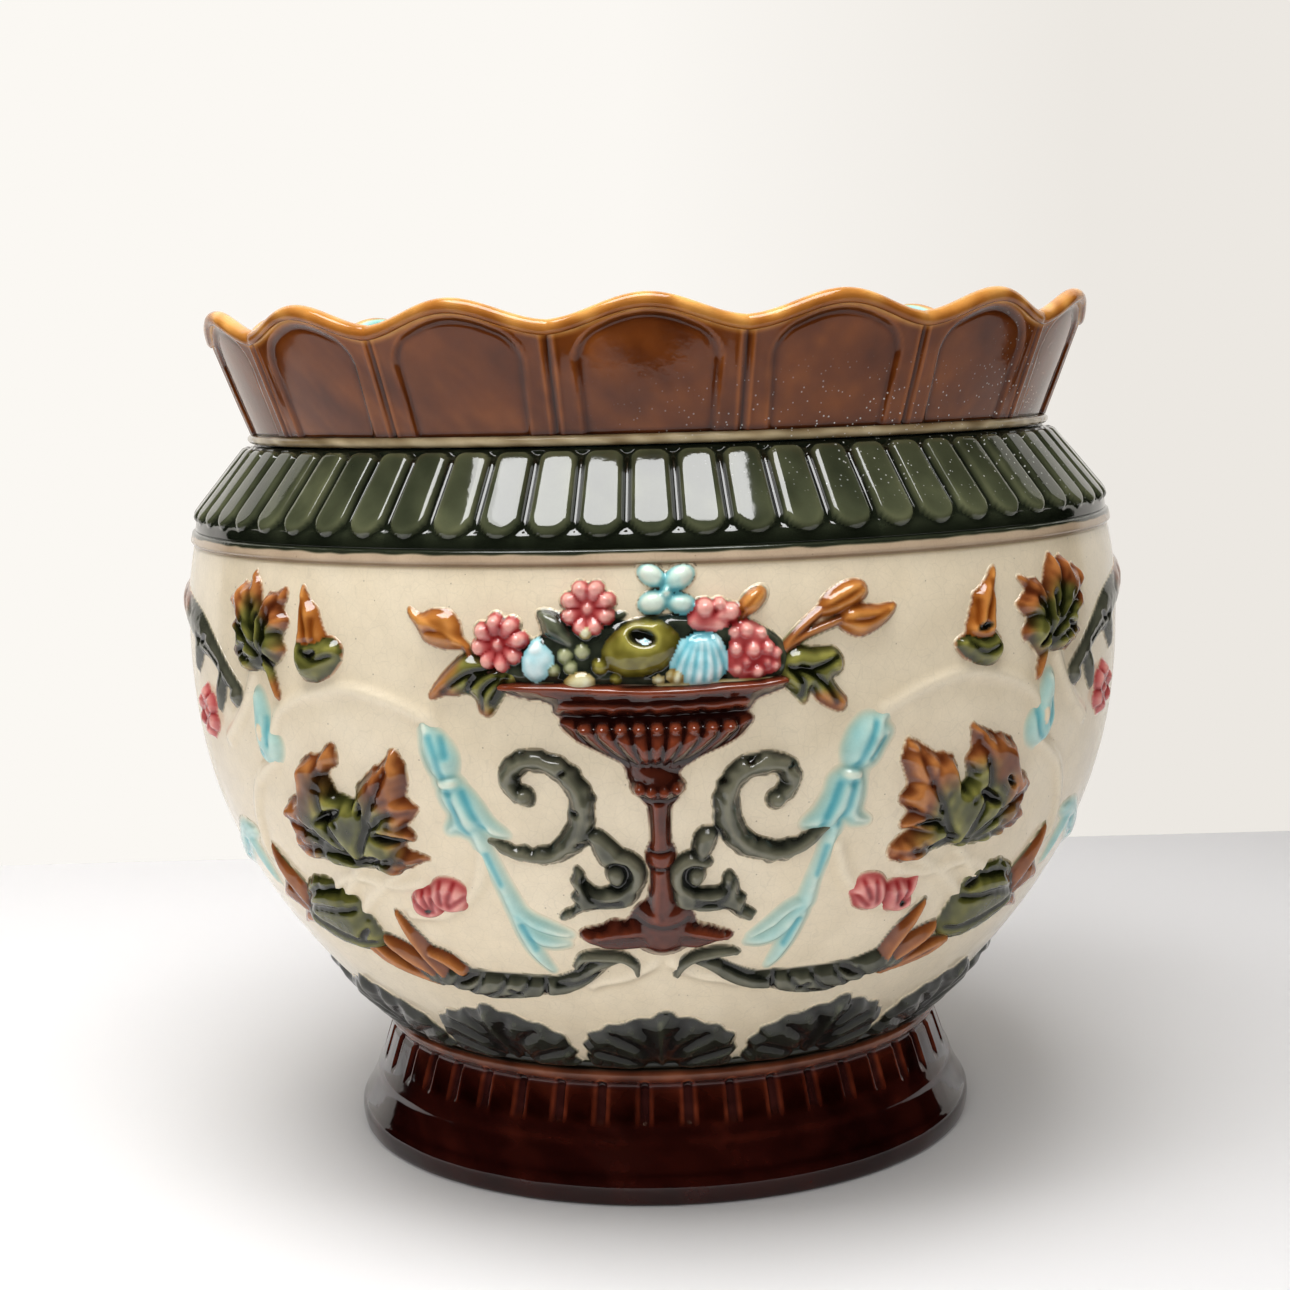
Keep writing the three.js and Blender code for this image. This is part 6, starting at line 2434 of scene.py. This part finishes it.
@dataclass
class EndFace:
    """The relief of one end of the pot: an arch scroll, a swag and two blooms."""

    turn: Turn

    def arch(self) -> Shell:
        """The arch scroll with its grey bud ends and ochre middle."""
        sheet = Relief((-118, 148), (118, 196), GREY, Cut(step=0.85, skirt=1.4))
        half = [
            (0, 189, 4.6), (24, 188, 4.2), (46, 185.4, 4.8), (64, 182, 6.0), (78, 178, 6.6), (90, 173.6, 4.6),
            (101, 167, 3.4), (112, 160, 2.8),
        ]
        spine = flipped(half[1:])[::-1] + half
        sheet.band(spine, 1.9, GREY, flat=0.85)
        for side in (-1, 1):
            sheet.band([(side * 80, 178, 5.0), (side * 74, 172, 4.8), (side * 69, 164, 1.2)], 1.7, GREY)
            sheet.band([(side * 101, 166, 2.6), (side * 97, 159, 3.8), (side * 94, 152.6, 1.4)], 1.6, GREY)
            sheet.bead((side * 111, 158.6), (4.6, 3.6), 2.0, GREY, 30 * side)
            sheet.hole((side * 84, 176), (3.4, 1.2), 24 * side, 1.6)
            sheet.groove([(side * 98, 168.6), (side * 88, 173), (side * 78, 176)], width=1.0, depth=1.2)
            for start in (10, 24, 38, 52):
                bar = [(side * start, 192), (side * (start + 6), 187.6), (side * (start + 13), 184)]
                sheet.groove(bar, width=1.1, depth=1.2, stain=0.4)
        sheet.bead((0, 189), (5.4, 5.4), 2.6, LEAF_OCHRE)
        share = ease(np.abs(sheet.x) + 3 * drift(sheet.x, sheet.y, 6, 3), 66, 54)
        sheet.layers = shift_to(sheet.layers, LEAF_OCHRE, share)
        return sheet.shell()

    def swag(self) -> Shell:
        """The turquoise ribbon swag under the arch."""
        sheet = Relief((-102, 78), (102, 112), TURQUOISE, Cut(step=0.9, skirt=2.2, lip=0.5, bleed=0.2, spread=2.0))
        half = [(0, 83, 5.4), (24, 84, 5.2), (46, 87, 5.0), (66, 94, 5.2), (84, 103, 5.0), (97, 106, 1.4)]
        sheet.band(flipped(half[1:])[::-1] + half, 1.5, flat=1.1)
        for side in (-1, 1):
            sheet.band([(side * 87, 101, 3.8), (side * 91, 93, 3.4), (side * 94, 84, 1.0)], 1.3)
            for start in (6, 26, 46, 64):
                fold = [(0, 86, 0.06), (12, 85, 0.16), (18, 88, 0.19)]
                line = [(side * (start + along), foot + start * rise) for along, foot, rise in fold]
                sheet.groove(line, width=1.2, depth=1.0)
        sheet.bead((0, 83.6), (4.2, 6.4), 2.0)
        return sheet.shell()

    def bloom(self, side: int) -> Shell:
        """One pink bloom beside the arch.

        Args:
            side: -1 or 1, the side of the end's axis.

        Returns:
            Its shell.
        """
        at = (side * 80.6, 149.6)
        sheet = Relief((at[0] - 11, at[1] - 10), (at[0] + 11, at[1] + 10), PINK, Cut(step=0.7, skirt=1.3))
        sheet.flower(at, 9.8, 6, 2.5, PINK, start=90)
        return sheet.shell()

    def build(self) -> list[bpy.types.Object]:
        """Set the end's pieces on the bowl.

        Returns:
            The pieces.
        """
        end = self.turn.name.lower()
        made = (
            ("arch", self.arch(), CoatKind.GREY),
            ("swag", self.swag(), CoatKind.TURQUOISE),
            ("bloom_a", self.bloom(-1), CoatKind.PINK),
            ("bloom_b", self.bloom(1), CoatKind.PINK),
        )
        return [
            shell.turned(self.turn.angle).piece(f"{end}_{name}_relief", coat, f"{end}_end_{name}")
            for name, shell, coat in made
        ]


# ---------------------------------------------------------------- the studio


class LampKind(Enum):
    """What a lamp gives: everything, soft light without a reflection, or a reflection alone."""

    FULL = "full"
    FILL = "fill"
    GLOSS = "gloss"


PAPER_CLOUD = 2.3  # blotches to the metre in the papers' painted shade
PAPER_BLUR = 0.15  # how much they blur it
PAPER_REACH = 0.45  # metres to each side over which the painted shade falls
ROOM_WHITE = (1, 0.985, 0.96, 1)  # the room's own light, a little warm
ROOM_STRENGTH = 0.41
SEEN_LEFT = (251, 248, 243)  # the backdrop as the camera sees it, left and right, darker to the right as painted shade
SEEN_RIGHT_SHADED = (236, 232, 226)
SEEN_REACH = 0.2  # the sideways heading at which the right-hand colour is reached


@dataclass
class Studio:
    """A pale floor and wall, a large soft light over the pot, and the camera."""

    eye: Point = (-3.329, -862.996, 293.68)
    down: float = 7.159
    roll: float = 1.539
    lens: float = 60.98
    wall_at: float = 465.0

    def camera(self) -> None:
        """Stand the camera where the photograph was taken from."""
        data = bpy.data.cameras.new("camera")
        data.lens = self.lens
        data.sensor_width = 36.0
        data.clip_start, data.clip_end = 0.02, 30
        obj = bpy.data.objects.new("camera", data)
        tilt = Euler((math.radians(90 - self.down), 0, 0)).to_matrix()
        lean = Matrix.Rotation(math.radians(-self.roll), 3, "Z")
        obj.matrix_world = Matrix.Translation(Vector(self.eye) * MM) @ (tilt @ lean).to_4x4()
        bpy.context.scene.collection.objects.link(obj)
        bpy.context.scene.camera = obj

    @staticmethod
    def _paper(name: str, colour: Point, fall: float, seen: float) -> bpy.types.Material:
        """Make a pale paper darkened a little to the right by painted shade, and seen brighter than it lights.

        Args:
            name: the material's name.
            colour: red, green and blue at the left, 0 to 255.
            fall: share of that colour that the painted shade leaves at the right.
            seen: strength of the glow that the camera and reflections see.

        Returns:
            The material.
        """
        material = bpy.data.materials.new(name)
        board = NodeBoard(material)
        place = board.add("TexCoord", {}, "Object")
        cloud = board.add("TexNoise", {"Scale": PAPER_CLOUD, "Vector": place}, "Fac")
        aside = board.add("SeparateXYZ", {0: place}, "X")
        shade = board.add("MapRange", {"From Min": -PAPER_REACH, "From Max": PAPER_REACH, "Value": aside})
        share = board.add("Math", {0: cloud, 1: PAPER_BLUR, 2: shade}, operation="MULTIPLY_ADD")
        left, right = ((*to_linear([c * part for c in colour]), 1) for part in (1, fall))
        paper = board.blend(share, left, right)
        paths = board.tree.nodes.new("ShaderNodeLightPath").outputs
        looked = {0: paths["Is Camera Ray"], 1: paths["Is Glossy Ray"]}
        glow = board.times(board.add("Math", looked, operation="MAXIMUM"), seen)
        shader = board.tree.nodes["Principled BSDF"]
        finish = {"Roughness": 0.9, "Base Color": paper, "Emission Color": paper, "Emission Strength": glow}
        for name, value in finish.items():
            board.feed(shader.inputs[name], value)
        return material

    def _sheet(self, name: str, corners: Line, material: bpy.types.Material) -> bpy.types.Object:
        """A flat sheet that isn't part of the pot."""
        mesh = bpy.data.meshes.new(name)
        mesh.from_pydata([tuple(c * MM for c in corner) for corner in corners], [], [(0, 1, 2, 3)])
        mesh.materials.append(material)
        obj = bpy.data.objects.new(name, mesh)
        bpy.context.scene.collection.objects.link(obj)
        return obj

    def room(self) -> None:
        """Lay the floor and stand the wall, which lights the pot but never hides it."""
        far, near, side = self.wall_at, -498, 880
        floor = [(-side, near, 0), (side, near, 0), (side, far, 0), (-side, far, 0)]
        # Both papers are darkened to the right by painted shade: the floor strongly, the wall hardly.
        self._sheet("floor", floor, self._paper("floor_paper", (244, 243, 244), 0.88, 0.03))
        wall = [(-side, far, 0), (side, far, 0), (side, far, 1400), (-side, far, 1400)]
        backdrop = self._sheet("backdrop", wall, self._paper("wall_paper", (197, 194, 189), 0.985, 0.5))
        backdrop.visible_camera = False

    @staticmethod
    def _lamp(name: str, at: Point, towards: Point, size: Point, power: float, gives: LampKind) -> None:
        """A soft rectangular light."""
        data = bpy.data.lights.new(name, "AREA")
        data.shape = "RECTANGLE"
        data.size, data.size_y = (edge * MM for edge in size)
        data.energy = power
        obj = bpy.data.objects.new(name, data)
        obj.location = Vector(at) * MM
        aim = (Vector(towards) - Vector(at)) * MM
        obj.rotation_euler = aim.to_track_quat("-Z", "Y").to_euler()
        obj.visible_diffuse = gives is not LampKind.GLOSS
        obj.visible_glossy = gives is not LampKind.FILL
        bpy.context.scene.collection.objects.link(obj)

    def lights(self) -> None:
        """Hang the lights and set the room's own light."""
        self._lamp("overhead_softbox", (-120, -270, 1250), (-120, -269, 200), (900, 640), 15.5, LampKind.FULL)
        self._lamp("overhead_sheen", (-90, -270, 1245), (-90, -269, 200), (860, 560), 4, LampKind.GLOSS)
        self._lamp("left_fill", (-420, -1700, 900), (0, 0, 150), (900, 900), 8.6, LampKind.FILL)
        world = bpy.data.worlds.new("room_light")
        board = NodeBoard(world)
        nodes = board.tree.nodes
        board.feed(nodes["Background"].inputs["Color"], ROOM_WHITE)
        board.feed(nodes["Background"].inputs["Strength"], ROOM_STRENGTH)
        # The backdrop that the camera sees is painted darker to the right, as painted shade.
        heading = board.add("SeparateXYZ", {0: board.add("TexCoord", {}, "Generated")}, "X")
        share = board.add("MapRange", {"From Min": 0.0, "From Max": SEEN_REACH, "Value": heading})
        backdrop = board.blend(share, (*to_linear(SEEN_LEFT), 1), (*to_linear(SEEN_RIGHT_SHADED), 1))
        pale = board.add("Background", {"Color": backdrop})
        looked = board.add("LightPath", {}, "Is Camera Ray")
        choice = board.add("MixShader", {0: looked, 1: nodes["Background"].outputs[0], 2: pale})
        board.feed(nodes["World Output"].inputs["Surface"], choice)
        world.cycles_visibility.glossy = False
        bpy.context.scene.world = world

    def build(self) -> None:
        """Set up the camera, the room and the lights."""
        bpy.context.scene.view_settings.view_transform = "Standard"
        self.camera()
        self.room()
        self.lights()


# ---------------------------------------------------------------- the whole pot


def main() -> None:
    """Dress the whole pot and set up the studio."""
    logging.basicConfig(level=logging.INFO, format="%(message)s")
    Studio().build()
    for ring in (Foot(), Bowl(), PalmetteBand(), Shoulder(), NeckBead(), Rim()):
        ring.build()
    front = TazzaFace(Turn.FRONT)
    sprigs = front.draw()
    front.build(sprigs)
    TazzaFace(Turn.BACK).build(sprigs)
    for turn in (Turn.RIGHT, Turn.LEFT):
        EndFace(turn).build()


if __name__ == "__main__":
    main()
